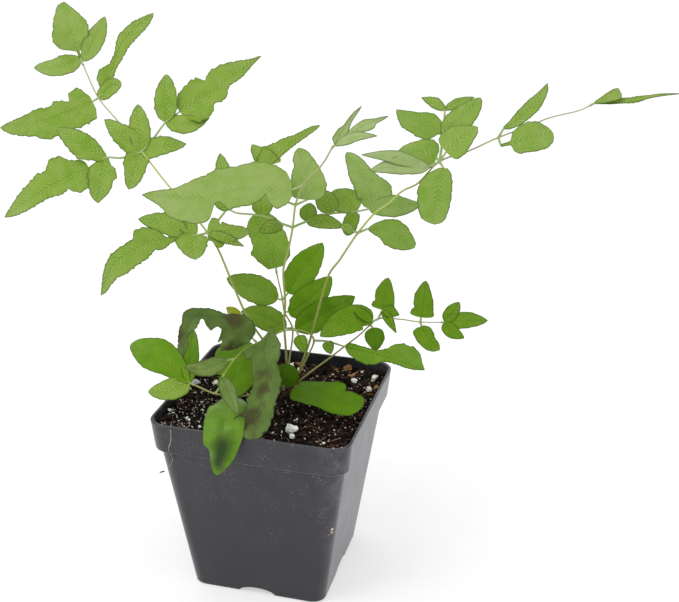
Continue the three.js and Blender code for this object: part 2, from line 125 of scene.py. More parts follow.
# %% [markdown]
# Every finished piece needs the same few things: a name, its materials, the body that it rides on, and the
# CAD node that it replaces. They could be set one by one at each piece, but one helper can't forget any of
# them.
# The slot that other finishes can be put in is only printed.

# %% Finished pieces
def finish_piece(piece, name, slot, materials, node=None):
    """Names a piece, gives it its materials and ties it to the frame."""
    piece.name = name
    piece.data.name = name
    piece.data.materials.clear()
    for one in materials:
        piece.data.materials.append(one)
    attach(piece, "root")
    if node:
        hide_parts(node)
    print(name, len(piece.data.vertices), "vertices in slot", slot)


# %% [markdown]
# ## Camera
# The camera stands where the photograph was taken from. It could be aimed by eye. Instead its place, turn
# and lens were found by laying the pot's straight edges over the photograph until they matched, so a piece
# that is right in the frame is right in the picture too.

# %% Camera
CAMERA_PLACE = (0.1802, -0.5622, 0.4041)
YAW, PITCH, ROLL = -0.252, -0.389, 0.014
SENSOR_WIDTH, FOCAL_LENGTH = 36, 62.93
ahead = Vector((math.sin(YAW) * math.cos(PITCH), math.cos(YAW) * math.cos(PITCH), math.sin(PITCH)))
level = ahead.cross(Vector((0, 0, 1))).normalized()
upright = level.cross(ahead)
to_right = level * math.cos(ROLL) + upright * math.sin(ROLL)
to_top = upright * math.cos(ROLL) - level * math.sin(ROLL)
turned = Matrix((to_right, to_top, -ahead)).transposed().to_4x4()
bpy.ops.object.camera_add()
camera = bpy.context.object
camera.matrix_world = Matrix.Translation(CAMERA_PLACE) @ turned
camera.data.sensor_width = SENSOR_WIDTH
camera.data.lens = FOCAL_LENGTH
bpy.context.scene.camera = camera
print("camera looks along", [round(v, 3) for v in ahead])

# %% [markdown]
# ## Light
# The picture was taken in even white light, as in a photographer's tent, with a little more of it from the
# upper left. Many lamps could stand round the plant, but plain white surroundings give the same even light
# without hard edges, and one wide lamp then adds the soft direction.

# %% White tent and lamp
TENT_STRENGTH = 1.05
LAMP_PLACE = Vector((-0.75, -0.75, 1.25))
LAMP_TARGET = Vector((0, 0, 0.12))
LAMP_WIDTH = 0.8
LAMP_POWER = 7
world = bpy.data.worlds.new("white_tent")
bpy.context.scene.world = world
world.use_nodes = True
world.node_tree.nodes.clear()
tent = add(world.node_tree, "Background", {"Color": linear("#ffffff"), "Strength": TENT_STRENGTH})
add(world.node_tree, "OutputWorld", {"Surface": tent})
bpy.context.scene.view_settings.view_transform = "Standard"
bpy.ops.object.light_add(type="AREA", location=LAMP_PLACE)
lamp = bpy.context.object
lamp.rotation_euler = (LAMP_TARGET - LAMP_PLACE).to_track_quat("-Z", "Y").to_euler()
lamp.data.size = LAMP_WIDTH
lamp.data.energy = LAMP_POWER
print("lamp stands", round((LAMP_TARGET - LAMP_PLACE).length, 2), "m from the plant")

# %% [markdown]
# The pot stands on the white acrylic sheet of a light table, which reaches past the edge of the picture. It
# could be plain paper, but then the pot's shadow would be darker than it is in the picture. So the sheet is
# lit a little from below.

# %% Floor
FLOOR_SIZE = 30
FLOOR_GAP = 0.2
bpy.ops.mesh.primitive_plane_add(size=FLOOR_SIZE, location=(0, 0, -FLOOR_GAP * MM))
floor = bpy.context.object
floor.name = "pale_floor"
# Acrylic: an even pale grey by itself, with clouds of 25 mm that are too faint to see one by one.
acrylic, tree, spot = new_material("white_acrylic_light_table")
cloud = add(tree, "TexNoise", {"Vector": spot, "Scale": 40.0})
pale = add(tree, "ValToRGB", {"Fac": cloud, "stops": [(0.3, "#bababa"), (0.7, "#bebebe")]})
glow = {"Emission Color": linear("#ffffff"), "Emission Strength": 0.5}
close_material(tree, {"Base Color": pale, "Roughness": 0.9, "Specular IOR Level": 0.1, **glow})
floor.data.materials.append(acrylic)
print("floor", FLOOR_SIZE, "m wide")

# %% [markdown]
# ## The pot
# The real pot is one thin shell of moulded polypropylene: a square cup that tapers to its floor, with a flat
# band round the top. A block could be tapered and hollowed out, but then its lip and its band would have to
# be added. So a square with rounded corners is drawn up row by row instead: out along the wall, over the
# lip, and down again inside.

# %% Pot shell
POT_BASE_HALF = 37.2
POT_CORNER = 6.85
POT_ROWS = [  # half width and height of each row, in mm, from the floor's edge over the lip to the inside
    (38.1, 1.0), (44.4, 45.0), (50.93, 90.4), (53.0, 91.0), (53.4, 91.5), (54.9, 106.8), (55.0, 107.5),
    (54.7, 107.95), (54.2, 108.0), (53.7, 107.9), (53.4, 107.4), (51.8, 92.6), (49.5, 91.6), (36.9, 2.2),
]
bpy.ops.object.select_all(action="DESELECT")
bpy.ops.mesh.primitive_plane_add(size=2 * POT_BASE_HALF * MM)
pot = bpy.context.object
bpy.ops.object.mode_set(mode="EDIT")
bpy.ops.mesh.select_all(action="SELECT")
bpy.ops.mesh.bevel(offset=POT_CORNER * MM, segments=8, affect="VERTICES")
bpy.ops.mesh.select_all(action="SELECT")
half, height = POT_BASE_HALF, 0.0
for next_half, next_height in POT_ROWS:
    step = (0, 0, (next_height - height) * MM)
    bpy.ops.mesh.extrude_region_move(TRANSFORM_OT_translate={"value": step})
    ratio = next_half / half
    bpy.ops.transform.resize(value=(ratio, ratio, 1))
    half, height = next_half, next_height
bpy.ops.mesh.select_all(action="SELECT")
bpy.ops.mesh.normals_make_consistent(inside=False)
bpy.ops.object.mode_set(mode="OBJECT")
print("pot rows", len(POT_ROWS), "vertices", len(pot.data.vertices), [round(v, 4) for v in pot.dimensions])

# %% [markdown]
# The middle of each bottom edge has an arched notch that lets the water out. The rows of the wall could go
# round the notches, which is awkward at an arch. It is easier to cut them afterwards: a flattened cylinder
# is the arch, three copies of it are turned to the other sides, and one Boolean takes all four away.

# %% Drain notches
NOTCH_HALF = 10.5
NOTCH_HEIGHT = 4.0
NOTCH_DEPTH = 9.0
NOTCH_PLACE = (0, -38 * MM, 0)
SIDES_LEFT = 3
bpy.ops.object.select_all(action="DESELECT")
lying = {"depth": 2 * NOTCH_DEPTH * MM, "location": NOTCH_PLACE, "rotation": (math.pi / 2, 0, 0)}
bpy.ops.mesh.primitive_cylinder_add(vertices=48, radius=NOTCH_HALF * MM, **lying)
arches = [bpy.context.object]
bpy.ops.object.transform_apply(location=True, rotation=True, scale=True)
bpy.ops.transform.resize(value=(1, 1, NOTCH_HEIGHT / NOTCH_HALF), center_override=(0, 0, 0))
bpy.ops.object.transform_apply(location=True, rotation=True, scale=True)
for turn in range(SIDES_LEFT):
    bpy.ops.object.duplicate()
    bpy.ops.transform.rotate(value=math.pi / 2, orient_axis="Z", center_override=(0, 0, 0))
    arches.append(bpy.context.object)
only(*arches)
bpy.ops.object.join()
bpy.ops.object.transform_apply(location=True, rotation=True, scale=True)
cutter = bpy.context.object
cut = pot.modifiers.new("drain_notches", "BOOLEAN")
cut.operation = "DIFFERENCE"
cut.solver = "EXACT"
cut.object = cutter
only(pot)
bpy.ops.object.modifier_apply(modifier=cut.name)
bpy.data.objects.remove(cutter)
print("pot with notches", len(pot.data.vertices), "vertices")

# %% [markdown]
# No moulded edge is sharp, and each one catches a thin line of light. Every edge could be rounded by itself,
# but a bevel that is limited by angle finds them all at once, and weighted normals keep the walls flat.

# %% Moulded edges
EDGE_WIDTH = 0.3
EDGE_FROM, SMOOTH_TO = 55, 35  # degrees: sharper than the first is an edge, flatter than the second is smooth
soften = pot.modifiers.new("moulded_edges", "BEVEL")
soften.width = EDGE_WIDTH * MM
soften.segments = 2
soften.limit_method = "ANGLE"
soften.angle_limit = math.radians(EDGE_FROM)
bpy.ops.object.modifier_apply(modifier=soften.name)
bpy.ops.object.shade_smooth_by_angle(angle=math.radians(SMOOTH_TO))
even = pot.modifiers.new("flat_walls", "WEIGHTED_NORMAL")
even.keep_sharp = True
bpy.ops.object.modifier_apply(modifier=even.name)
print("pot with soft edges", len(pot.data.vertices), "vertices")

# %% [markdown]
# ## Finish of the pot
# The pot is polypropylene, coloured near black and moulded. New, it would have an even soft sheen. This one
# has been handled and watered, and every trace of that is a layer over the one before it; one more layer is a
# painted highlight. The layers could be painted as a picture, but patterns that read the place on the pot
# have no seams and stay sharp. The bare plastic comes first, faintly clouded.

# %% Bare plastic
# Moulded polypropylene: near black with a trace of violet, and a soft sheen.
polypropylene, tree, spot = new_material("moulded_polypropylene")
z = add(tree, "SeparateXYZ", {"Vector": spot}, "Z")
x = z.node.outputs["X"]
# Clouds of 22 mm, where the plastic has a little more or less black in it.
cloud = add(tree, "TexNoise", {"Vector": spot, "Scale": 45.0, "Detail": 5.0, "Roughness": 0.65})
coat = add(tree, "ValToRGB", {"Fac": cloud, "stops": [(0.3, "#121118"), (0.7, "#1b1a22")]})
print("bare plastic", len(tree.nodes), "nodes")

# %% [markdown]
# A thin haze covers the plastic and grows towards the rim, and the wall on the right is smeared, where dirty
# water has dried. Real dirt is a film with no thickness to speak of, so it is only colour here. The smears
# are coarse noise with a lot of fine detail, kept to that wall by its place.

# %% Haze and smears
HAZE_SHARE = 0.1
upward = {"Value": z, "From Min": 0.03, "From Max": 0.085, "To Min": 0.12, "To Max": 0.8}
dusty = add(tree, "MapRange", upward)
# Patches of 13 mm, which the haze and the dust share.
patch = add(tree, "TexNoise", {"Vector": spot, "Scale": 75.0, "Detail": 4.0, "Roughness": 0.7})
haze = add(tree, "Math", {"operation": "MULTIPLY", 0: dusty, 1: patch})
haze = add(tree, "Math", {"operation": "MULTIPLY", 0: haze, 1: HAZE_SHARE})
# Smears of 17 mm.
smear = add(tree, "TexNoise", {"Vector": spot, "Scale": 60.0, "Detail": 8.0, "Roughness": 0.85})
smear = add(tree, "MapRange", {"Value": smear, "From Min": 0.45, "From Max": 0.68, "To Max": 0.34})
right_wall = add(tree, "MapRange", {"Value": x, "From Min": 0.036, "From Max": 0.05})
smear = add(tree, "Math", {"operation": "MULTIPLY", 0: smear, 1: right_wall})
haze = add(tree, "Math", {"operation": "ADD", 0: haze, 1: smear})
coat = add(tree, "Mix", {"data_type": "RGBA", 0: haze, UNDER: coat, OVER: linear("#8a8791")}, MIXED)
print("haze and smears", len(tree.nodes), "nodes")

# %% [markdown]
# Fine pale dust lies on top, more of it higher up and on the right. Grains of dust could be scattered over
# the walls as the perlite is over the mix, but at this size they only have to show as specks. The middles of
# small cells are the specks, and the patches, the height and the side thin them out.

# %% Dust
# Specks of 0.3 to 0.6 mm, 1.4 mm apart, drawn a little coarser than real so that they show.
fleck = add(tree, "TexVoronoi", {"Vector": spot, "Scale": 700.0, "Randomness": 1.0}, "Distance")
near = {"Value": fleck, "From Min": 0.1, "From Max": 0.24, "To Min": 1.0, "To Max": 0.0}
speck = add(tree, "MapRange", near)
patchy = add(tree, "MapRange", {"Value": patch, "From Min": 0.46, "From Max": 0.66})
rightward = {"Value": x, "From Min": -0.03, "From Max": 0.05, "To Min": 0.45, "To Max": 0.95}
rightward = add(tree, "MapRange", rightward)
dust = speck
for thinning in (patchy, dusty, rightward):
    dust = add(tree, "Math", {"operation": "MULTIPLY", 0: dust, 1: thinning})
coat = add(tree, "Mix", {"data_type": "RGBA", 0: dust, UNDER: coat, OVER: linear("#b9b6b0")}, MIXED)
print("dust", len(tree.nodes), "nodes")

# %% [markdown]
# A thin highlight is painted where the band meets the wall, on the ledge that catches the light, and a few
# specks of soil have dried on. The soil is a real mark in the surface, too shallow to model. The painted
# highlight is wherever the height is right, broken up by fine noise, and the soil is the highest part of
# another noise, so that it stays sparse.

# %% Painted highlight on the ledge, and dried soil
LEDGE_HIGHLIGHT_HEIGHT = 0.0907  # m
LEDGE_HIGHLIGHT_SHARE = 0.9
away = add(tree, "Math", {"operation": "SUBTRACT", 0: z, 1: LEDGE_HIGHLIGHT_HEIGHT})
away = add(tree, "Math", {"operation": "ABSOLUTE", 0: away})
# The painted highlight is 1 mm wide, with gaps of 2.6 mm in it.
line = {"Value": away, "From Min": 0.0003, "From Max": 0.0007, "To Min": 1.0, "To Max": 0.0}
line = add(tree, "MapRange", line)
highlight_breaks = add(tree, "TexNoise", {"Vector": spot, "Scale": 380.0, "Detail": 3.0})
highlight_breaks = add(tree, "MapRange", {"Value": highlight_breaks, "From Min": 0.5, "From Max": 0.68})
ledge_highlight = add(tree, "Math", {"operation": "MULTIPLY", 0: line, 1: highlight_breaks})
ledge_highlight = add(tree, "Math", {"operation": "MULTIPLY", 0: ledge_highlight, 1: LEDGE_HIGHLIGHT_SHARE})
coat = add(tree, "Mix", {"data_type": "RGBA", 0: ledge_highlight, UNDER: coat, OVER: linear("#bab7b1")}, MIXED)
# Dried soil: sparse brown spots of 2 to 5 mm, from a noise of 8 mm.
soil = add(tree, "TexNoise", {"Vector": spot, "Scale": 130.0, "Detail": 6.0, "Roughness": 0.75})
soil = add(tree, "MapRange", {"Value": soil, "From Min": 0.72, "From Max": 0.8, "To Max": 0.6})
coat = add(tree, "Mix", {"data_type": "RGBA", 0: soil, UNDER: coat, OVER: linear("#5d4a3a")}, MIXED)
print("scuffs and soil", len(tree.nodes), "nodes")

# %% [markdown]
# A moulded surface copies its mould: a fine grain, and slow waves where the thin wall has sunk. They could be
# modelled in the mesh, but a bump bends the light in the same way. The plastic is duller where dust lies on
# it, and the film of dust adds a weak sheen at the walls' edges.

# %% Skin of the pot
WAVE_TO_GRAIN = 9.0
worn = {"Value": cloud, "From Min": 0.3, "From Max": 0.7, "To Min": 0.3, "To Max": 0.38}
worn = add(tree, "MapRange", worn)
worn = add(tree, "Math", {"operation": "ADD", 0: worn, 1: dust})
# Grain of 0.7 mm on waves of 55 mm.
grain = add(tree, "TexNoise", {"Vector": spot, "Scale": 1400.0, "Detail": 2.0})
wave = add(tree, "TexNoise", {"Vector": spot, "Scale": 18.0, "Detail": 1.0})
relief = add(tree, "Math", {"operation": "MULTIPLY_ADD", 0: wave, 1: WAVE_TO_GRAIN, 2: grain})
skin = add(tree, "Bump", {"Height": relief, "Strength": 0.25, "Distance": 0.0001})
film = {"Sheen Weight": 0.22, "Sheen Roughness": 0.35, "Sheen Tint": linear("#efecf7")}
close_material(tree, {"Base Color": coat, "Roughness": worn, "IOR": 1.5, "Normal": skin, **film})
finish_piece(pot, "moulded_pot", "pot_plastic", [polypropylene], "pot")

# %% [markdown]
# ## The growing mix
# Peat, fine bark and perlite fill the pot to a finger's breadth under the lip. The real mix is nothing but
# loose parts, and to pour millions of them would be slow. So the body of the mix is one lump, and only the
# coarse parts on top are pieces of their own. Its level comes from one formula, because everything that
# lies on the mix has to find it: heaped at the left and at the back, and lumpy all over.

# %% Level of the mix
MIX_HALF = 52.3
MIX_LEVEL = 101.0
MIX_LUMPS = ((0.11, 1.3, 3), (0.35, 0.9, 8))  # waves in a mm, height in mm and seed: the broad and the small
LEFT_HEAP, BACK_HEAP = 3.2, 1.2
HEAP_FROM, LEFT_SLOPE, BACK_SLOPE = 20, 28, 25  # mm from the middle, and the lengths of the slopes


def ramp(value, start, length):
    """How far a value is past a start, from 0 to 1 over a length."""
    return max(0.0, min(1.0, (value - start) / length))


def mix_height(x, y):
    """The level of the mix at a place, all in mm."""
    spread = max(0.0, 1 - max(abs(x), abs(y)) / MIX_HALF)
    lumps = sum(noise.noise(Vector((x * pitch, y * pitch, seed))) * high for pitch, high, seed in MIX_LUMPS)
    heaped = LEFT_HEAP * ramp(-x, HEAP_FROM, LEFT_SLOPE) + BACK_HEAP * ramp(y, HEAP_FROM, BACK_SLOPE)
    # At the walls the mix lies 1 mm lower, and its lumps are about a third as high.
    return MIX_LEVEL + min(1.0, spread * 2.5) + heaped + lumps * min(1.0, 0.35 + spread * 6)


print("level in the middle and at the left", [round(mix_height(x, 0), 1) for x in (0, -45)], "mm")

# %% [markdown]
# The body of the mix could be a block with a displacement on top, but then its corners would be sharp where
# the pot's are round. So a grid is pressed into a square with round corners, set to the level of the mix,
# and its edge is then drawn down inside the pot and closed.

# %% Body of the mix
MIX_FOOT_HALF = 36.6
MIX_FOOT = 2.6
MIX_CELLS = 110
GRIT_HEIGHT, GRIT_PITCH, GRIT_SEED = 0.35, 1.1, 5  # in mm, in waves to a mm, and a seed
MIX_CORNER_POWER = 14  # the higher, the nearer the corners are to sharp
MIX_SMOOTH_TO = 50  # degrees


def to_rounded_square(x, y):
    """A point of the square from -1 to 1, moved so that the square's corners become round."""
    widest = max(abs(x), abs(y))
    if widest == 0:
        return 0.0, 0.0
    shrink = widest / (abs(x) ** MIX_CORNER_POWER + abs(y) ** MIX_CORNER_POWER) ** (1 / MIX_CORNER_POWER)
    return x * shrink, y * shrink


bpy.ops.object.select_all(action="DESELECT")
bpy.ops.mesh.primitive_grid_add(x_subdivisions=MIX_CELLS, y_subdivisions=MIX_CELLS, size=2)
mix = bpy.context.object
for vertex in mix.data.vertices:
    x, y = to_rounded_square(vertex.co.x, vertex.co.y)
    x, y = x * MIX_HALF, y * MIX_HALF
    grit = noise.noise(Vector((x * GRIT_PITCH, y * GRIT_PITCH, GRIT_SEED))) * GRIT_HEIGHT
    vertex.co = Vector((x, y, mix_height(x, y) + grit)) * MM
bpy.ops.object.mode_set(mode="EDIT")
bpy.ops.mesh.select_all(action="SELECT")
bpy.ops.mesh.region_to_loop()
bpy.ops.mesh.extrude_edges_move(TRANSFORM_OT_translate={"value": (0, 0, (MIX_FOOT - MIX_LEVEL) * MM)})
foot = MIX_FOOT_HALF / MIX_HALF
bpy.ops.transform.resize(value=(foot, foot, 0))
bpy.ops.mesh.edge_face_add()
bpy.ops.mesh.select_all(action="SELECT")
bpy.ops.mesh.normals_make_consistent(inside=False)
bpy.ops.object.mode_set(mode="OBJECT")
bpy.ops.object.shade_smooth_by_angle(angle=math.radians(MIX_SMOOTH_TO))
print("mix", len(mix.data.vertices), "vertices", [round(v, 4) for v in mix.dimensions])

# %% [markdown]
# Wet peat is nearly black, and the bark dust in it is reddish brown. One even brown would look like clay,
# so small cells, each with a colour of its own, stand for the crumbs, and broader noise makes some of them
# damper than others.

# %% Finish of the mix
# Crumbs of peat scatter the light, so it has almost no gloss at all. They are 2 mm, in damp patches of 17 mm.
peat, tree, spot = new_material("peat_and_bark_mix")
crumb = add(tree, "TexVoronoi", {"Vector": spot, "Scale": 520.0, "Randomness": 1.0}, "Color")
crumb = add(tree, "SeparateColor", {"Color": crumb}, "Red")
damp = add(tree, "TexNoise", {"Vector": spot, "Scale": 60.0, "Detail": 5.0, "Roughness": 0.7})
shade = add(tree, "Math", {"operation": "MULTIPLY", 0: crumb, 1: damp})
stops = [(0.05, "#0a0706"), (0.3, "#17100c"), (0.45, "#2e1f16"), (0.58, "#5b3c28")]
brown = add(tree, "ValToRGB", {"Fac": shade, "stops": stops})
# The bump is 1.4 mm across and rougher than the real crumbs are, so that it shows.
rough = add(tree, "TexNoise", {"Vector": spot, "Scale": 700.0, "Detail": 6.0, "Roughness": 0.8})
skin = add(tree, "Bump", {"Height": rough, "Strength": 1.0, "Distance": 0.0012})
close_material(tree, {"Base Color": brown, "Roughness": 0.95, "Specular IOR Level": 0.1, "Normal": skin})
finish_piece(mix, "potting_mix_body", "potting_mix", [peat], "potting_mix")

# %% [markdown]
# ## Loose parts on the mix
# Bark chips and perlite grains are broken lumps, no two alike. Each could be sculpted, but there are over
# two thousand. So a few lumps are modelled: a cube is cut once each way, rounded off, knocked about with
# noise and stretched.

# %% Rough lumps
LUMP_RADIUS = 0.55
LUMP_PITCH = 3.1
LUMP_SEED_STEP = 7.3


def rough_lumps(count, stretches, strength, roundness, seed):
    """Lumps to copy, about 1 mm across. Each has one of the stretches, along x, y and z."""
    lumps = []
    for number in range(count):
        bpy.ops.object.select_all(action="DESELECT")
        bpy.ops.mesh.primitive_cube_add(size=1)
        lump = bpy.context.object
        bpy.ops.object.mode_set(mode="EDIT")
        bpy.ops.mesh.select_all(action="SELECT")
        bpy.ops.mesh.subdivide(number_cuts=1)
        bpy.ops.object.mode_set(mode="OBJECT")
        for vertex in lump.data.vertices:
            ball = vertex.co.normalized() * LUMP_RADIUS
            off = noise.noise(vertex.co * LUMP_PITCH + Vector((seed + number * LUMP_SEED_STEP, 0, 0)))
            rough = vertex.co.lerp(ball, roundness) * (1 + strength * off)
            vertex.co = Vector(a * b for a, b in zip(rough, stretches[number % len(stretches)]))
        lumps.append(lump)
    return lumps


# %% [markdown]
# The lumps are then copied to their places, each with its own size, turn and tone. A particle system could
# do that, but it would have to be turned into a mesh. Plain code does the same and leaves one closed mesh for
# each kind.

# %% Scatter
FULL_TURN = 6.283
TILT = 0.5


def scatter(templates, places, kind):
    """Copies of the templates as one object. Each place is x, y, z and size in mm, and a tone."""
    chance = np.random.RandomState(len(places) + kind)
    points, faces, tones = [], [], []
    for x, y, height, size, tone in places:
        chosen = templates[chance.randint(len(templates))]
        turn = Matrix.Rotation(chance.uniform(0, FULL_TURN), 3, "Z")
        turn = turn @ Matrix.Rotation(chance.uniform(-TILT, TILT), 3, "X")
        turn = turn @ Matrix.Rotation(chance.uniform(-TILT, TILT), 3, "Y")
        first = len(points)
        spots = [turn @ (vertex.co * size) + Vector((x, y, height)) for vertex in chosen.data.vertices]
        points.extend(spot * MM for spot in spots)
        faces.extend([[first + i for i in face.vertices] for face in chosen.data.polygons])
        tones.extend([tone] * len(spots))
    made = bpy.data.meshes.new("scattered")
    made.from_pydata(points, [], faces)
    made.attributes.new("tone", "FLOAT", "POINT").data.foreach_set("value", tones)
    piece = bpy.data.objects.new("scattered", made)
    bpy.context.collection.objects.link(piece)
    for template in templates:
        bpy.data.objects.remove(template)
    return piece


# %% [markdown]
# Chips and grains lie anywhere on the mix but in the crown and against the walls. Places could be picked by
# hand, one by one. Drawing them at random, and drawing again when one is taken, is quicker and looks natural.

# %% Open places
CROWN_PLACE = (3.0, 14.0)
CROWN_REACH = 10
MIX_REACH = 50.0


def open_place(chance, half):
    """A place on the mix, in mm, clear of the walls and the crown."""
    while True:
        x, y = chance.uniform(-half, half, 2)
        if math.hypot(x - CROWN_PLACE[0], y - CROWN_PLACE[1]) > CROWN_REACH:
            return x, y


def on_mix(x, y, size, rise, tone):
    """A place on the mix for scatter. The lump's middle rises a share of its size over the mix."""
    return x, y, mix_height(x, y) + size * rise, size, tone


# %% [markdown]
# The bark is composted pine bark, broken into flat chips of up to 6 mm, most of them small and dark, and a
# few of them torn open and light. It is darker towards the front left and lighter towards the back right. One
# chip has caught on the pot's left front corner, and stands 2 mm off the wall here.

# %% Bark chips
CHIP_COUNT = 1500
CHIP_LEAST, CHIP_SPREAD = 0.8, 5.4  # mm
TORN_SHARE = 0.1
CHIP_TONE_SLOPE = 50  # mm, over which the bark gets lighter towards the back right
CAUGHT_CHIP = (-49.6, -47.9, 75.6, 2.2, 0.0)  # x, y, z and size in mm, and its tone
CHIP_STRETCHES = [(1, 0.7, 0.35), (1.1, 0.5, 0.4), (0.8, 0.8, 0.5), (1.3, 0.35, 0.3), (0.9, 0.6, 0.6)]
chance = np.random.RandomState(11)
places = []
for number in range(CHIP_COUNT):
    x, y = open_place(chance, MIX_REACH)
    size = CHIP_LEAST + CHIP_SPREAD * chance.beta(1.0, 4.4)
    tone = chance.uniform(0.75, 1.0) if chance.uniform() < TORN_SHARE else chance.beta(1.0, 4.0)
    tone *= 0.4 + 0.6 * ramp(x + y, 0, CHIP_TONE_SLOPE)
    places.append(on_mix(x, y, size, rise=0.12, tone=tone))
places.append(CAUGHT_CHIP)
chip_lumps = rough_lumps(6, CHIP_STRETCHES, strength=1.1, roundness=0.45, seed=2.0)
bark_chips = scatter(chip_lumps, places, kind=1)
print("bark chips", len(places), "faces", len(bark_chips.data.polygons))

# %% [markdown]
# Bark breaks along its fibres, so its colour is a chip's own tone with fine streaks in it. Every chip could
# have a material of its own, but one material that reads the tone off the mesh gives the same variety.

# %% Finish of the bark
# Composted bark is dull and nearly black when wet, and straw brown where it is torn. Its fibres are 1 mm.
bark, tree, spot = new_material("composted_pine_bark")
tone = add(tree, "Attribute", {"attribute_name": "tone"}, "Fac")
fibre = add(tree, "TexNoise", {"Vector": spot, "Scale": 900.0, "Detail": 4.0, "Roughness": 0.7})
shade = add(tree, "Math", {"operation": "MULTIPLY_ADD", 0: fibre, 1: 0.3, 2: tone})
stops = [(0.12, "#120d0a"), (0.35, "#261a13"), (0.6, "#4a2f1f"), (0.85, "#7b5233"), (1.0, "#a57b4c")]
brown = add(tree, "ValToRGB", {"Fac": shade, "stops": stops})
skin = add(tree, "Bump", {"Height": fibre, "Strength": 0.8, "Distance": 0.0004})
close_material(tree, {"Base Color": brown, "Roughness": 0.85, "Specular IOR Level": 0.2, "Normal": skin})
finish_piece(bark_chips, "bark_chips", "potting_mix", [bark])

# %% [markdown]
# Perlite is volcanic glass that was heated until it puffed up, as maize does: white, round and light. The
# grains that stand out in the photograph are put where it shows them, because the eye finds them at once.
# The rest are drawn at random: many small ones, dust-fine ones at the front left and a few coarse ones at
# the back. Three more were splashed onto the pot's right corner.

# %% Perlite grains
SEEN_GRAINS = [  # x, y and size in mm
    (18.0, -31.1, 6.0), (20.4, -37.2, 3.0), (23.1, -20.3, 1.6), (17.5, -18.4, 1.5), (38.2, -38.8, 1.6),
    (42.0, -28.7, 1.5), (46.7, 26.3, 3.2), (46.2, 38.1, 1.8), (46.9, 45.2, 1.5), (22.4, 38.0, 1.5),
    (37.6, 46.6, 1.6), (-48.4, 1.2, 5.0), (-41.2, -5.8, 2.4), (-49.0, -5.5, 2.0), (-45.0, -8.2, 1.6),
    (-50.4, -31.4, 2.0), (-49.0, -20.0, 1.6), (-39.3, -34.8, 1.6), (-37.0, -37.7, 1.4), (-34.2, -25.0, 1.6),
    (-30.3, -29.9, 1.4), (-29.2, -41.8, 1.8),
]
SPLASHED = [  # x, y, z and size in mm, and a tone
    (43.5, -41.8, 52.6, 1.9, 0.5), (43.2, -41.7, 50.6, 2.3, 0.3), (42.4, -42.4, 49.6, 1.5, 0.1),
]
SMALL_GRAINS, SMALL_LEAST, SMALL_SPREAD = 620, 0.35, 1.5  # how many, and their sizes in mm
FINE_GRAINS, FINE_LEAST, FINE_MOST = 420, 0.3, 0.75
FINE_WIDE, FINE_DEEP = 60, 40  # mm from the front left corner
COARSE_GRAINS, COARSE_LEAST, COARSE_MOST = 7, 2.2, 4.4
COARSE_REACH = 48.0
GRAIN_STRETCHES = [(1, 0.85, 0.75), (0.9, 1, 0.7)]
chance = np.random.RandomState(12)
places = [on_mix(x, y, size, rise=0.3, tone=0.8) for x, y, size in SEEN_GRAINS]
for number in range(SMALL_GRAINS):
    x, y = open_place(chance, MIX_REACH)
    size = SMALL_LEAST + SMALL_SPREAD * chance.beta(1.0, 4.5)
    places.append(on_mix(x, y, size, rise=0.4, tone=chance.uniform(0.15, 1.0)))
for number in range(FINE_GRAINS):
    x = -MIX_REACH + FINE_WIDE * chance.beta(1.0, 1.6)
    y = -MIX_REACH + FINE_DEEP * chance.beta(1.0, 1.6)
    size = chance.uniform(FINE_LEAST, FINE_MOST)
    places.append(on_mix(x, y, size, rise=0.5, tone=chance.uniform(0.0, 0.8)))
places += SPLASHED
for number in range(COARSE_GRAINS):
    x, y = open_place(chance, COARSE_REACH)
    size = chance.uniform(COARSE_LEAST, COARSE_MOST)
    places.append(on_mix(x, abs(y), size, rise=0.2, tone=chance.uniform(0.5, 0.9)))
grain_lumps = rough_lumps(4, GRAIN_STRETCHES, strength=0.7, roundness=0.8, seed=5.0)
grains = scatter(grain_lumps, places, kind=2)
print("perlite grains", len(places), "faces", len(grains.data.polygons))

# %% [markdown]
# A grain is full of burst bubbles, and peat has stained it. The bubbles could be cut out of it, but on a
# grain of 2 mm only their roughness shows, so they are a bump.

# %% Finish of the perlite
# Expanded perlite is a matt white froth, with pits of 0.7 mm and stains of 2 mm.
perlite, tree, spot = new_material("expanded_perlite")
tone = add(tree, "Attribute", {"attribute_name": "tone"}, "Fac")
pits = add(tree, "TexVoronoi", {"Vector": spot, "Scale": 1500.0}, "Distance")
stain = add(tree, "TexNoise", {"Vector": spot, "Scale": 500.0, "Detail": 4.0})
shade = add(tree, "Math", {"operation": "MULTIPLY_ADD", 0: stain, 1: 0.7, 2: tone})
stops = [(0.4, "#7a6247"), (0.62, "#b3a48c"), (0.85, "#d8d3c9"), (1.0, "#f2f1ed")]
white = add(tree, "ValToRGB", {"Fac": shade, "stops": stops})
skin = add(tree, "Bump", {"Height": pits, "Strength": 0.6, "Distance": 0.0004})
close_material(tree, {"Base Color": white, "Roughness": 0.8, "Normal": skin})
finish_piece(grains, "perlite_grains", "potting_mix", [perlite])

# %% [markdown]
# ## Round stems, stalks and fibres
# Everything thin and round on the plant runs along a smooth line. A Bezier curve could be drawn for each by
# hand. `smooth_line` is the curve that the CAD uses instead, through the same points, so a stem here runs
# where its node runs.

# %% Smooth lines
STEPS_TO_A_SPAN = 40
STRAIGHT_STEPS = 50
LEAST_SPAN = 1e-4


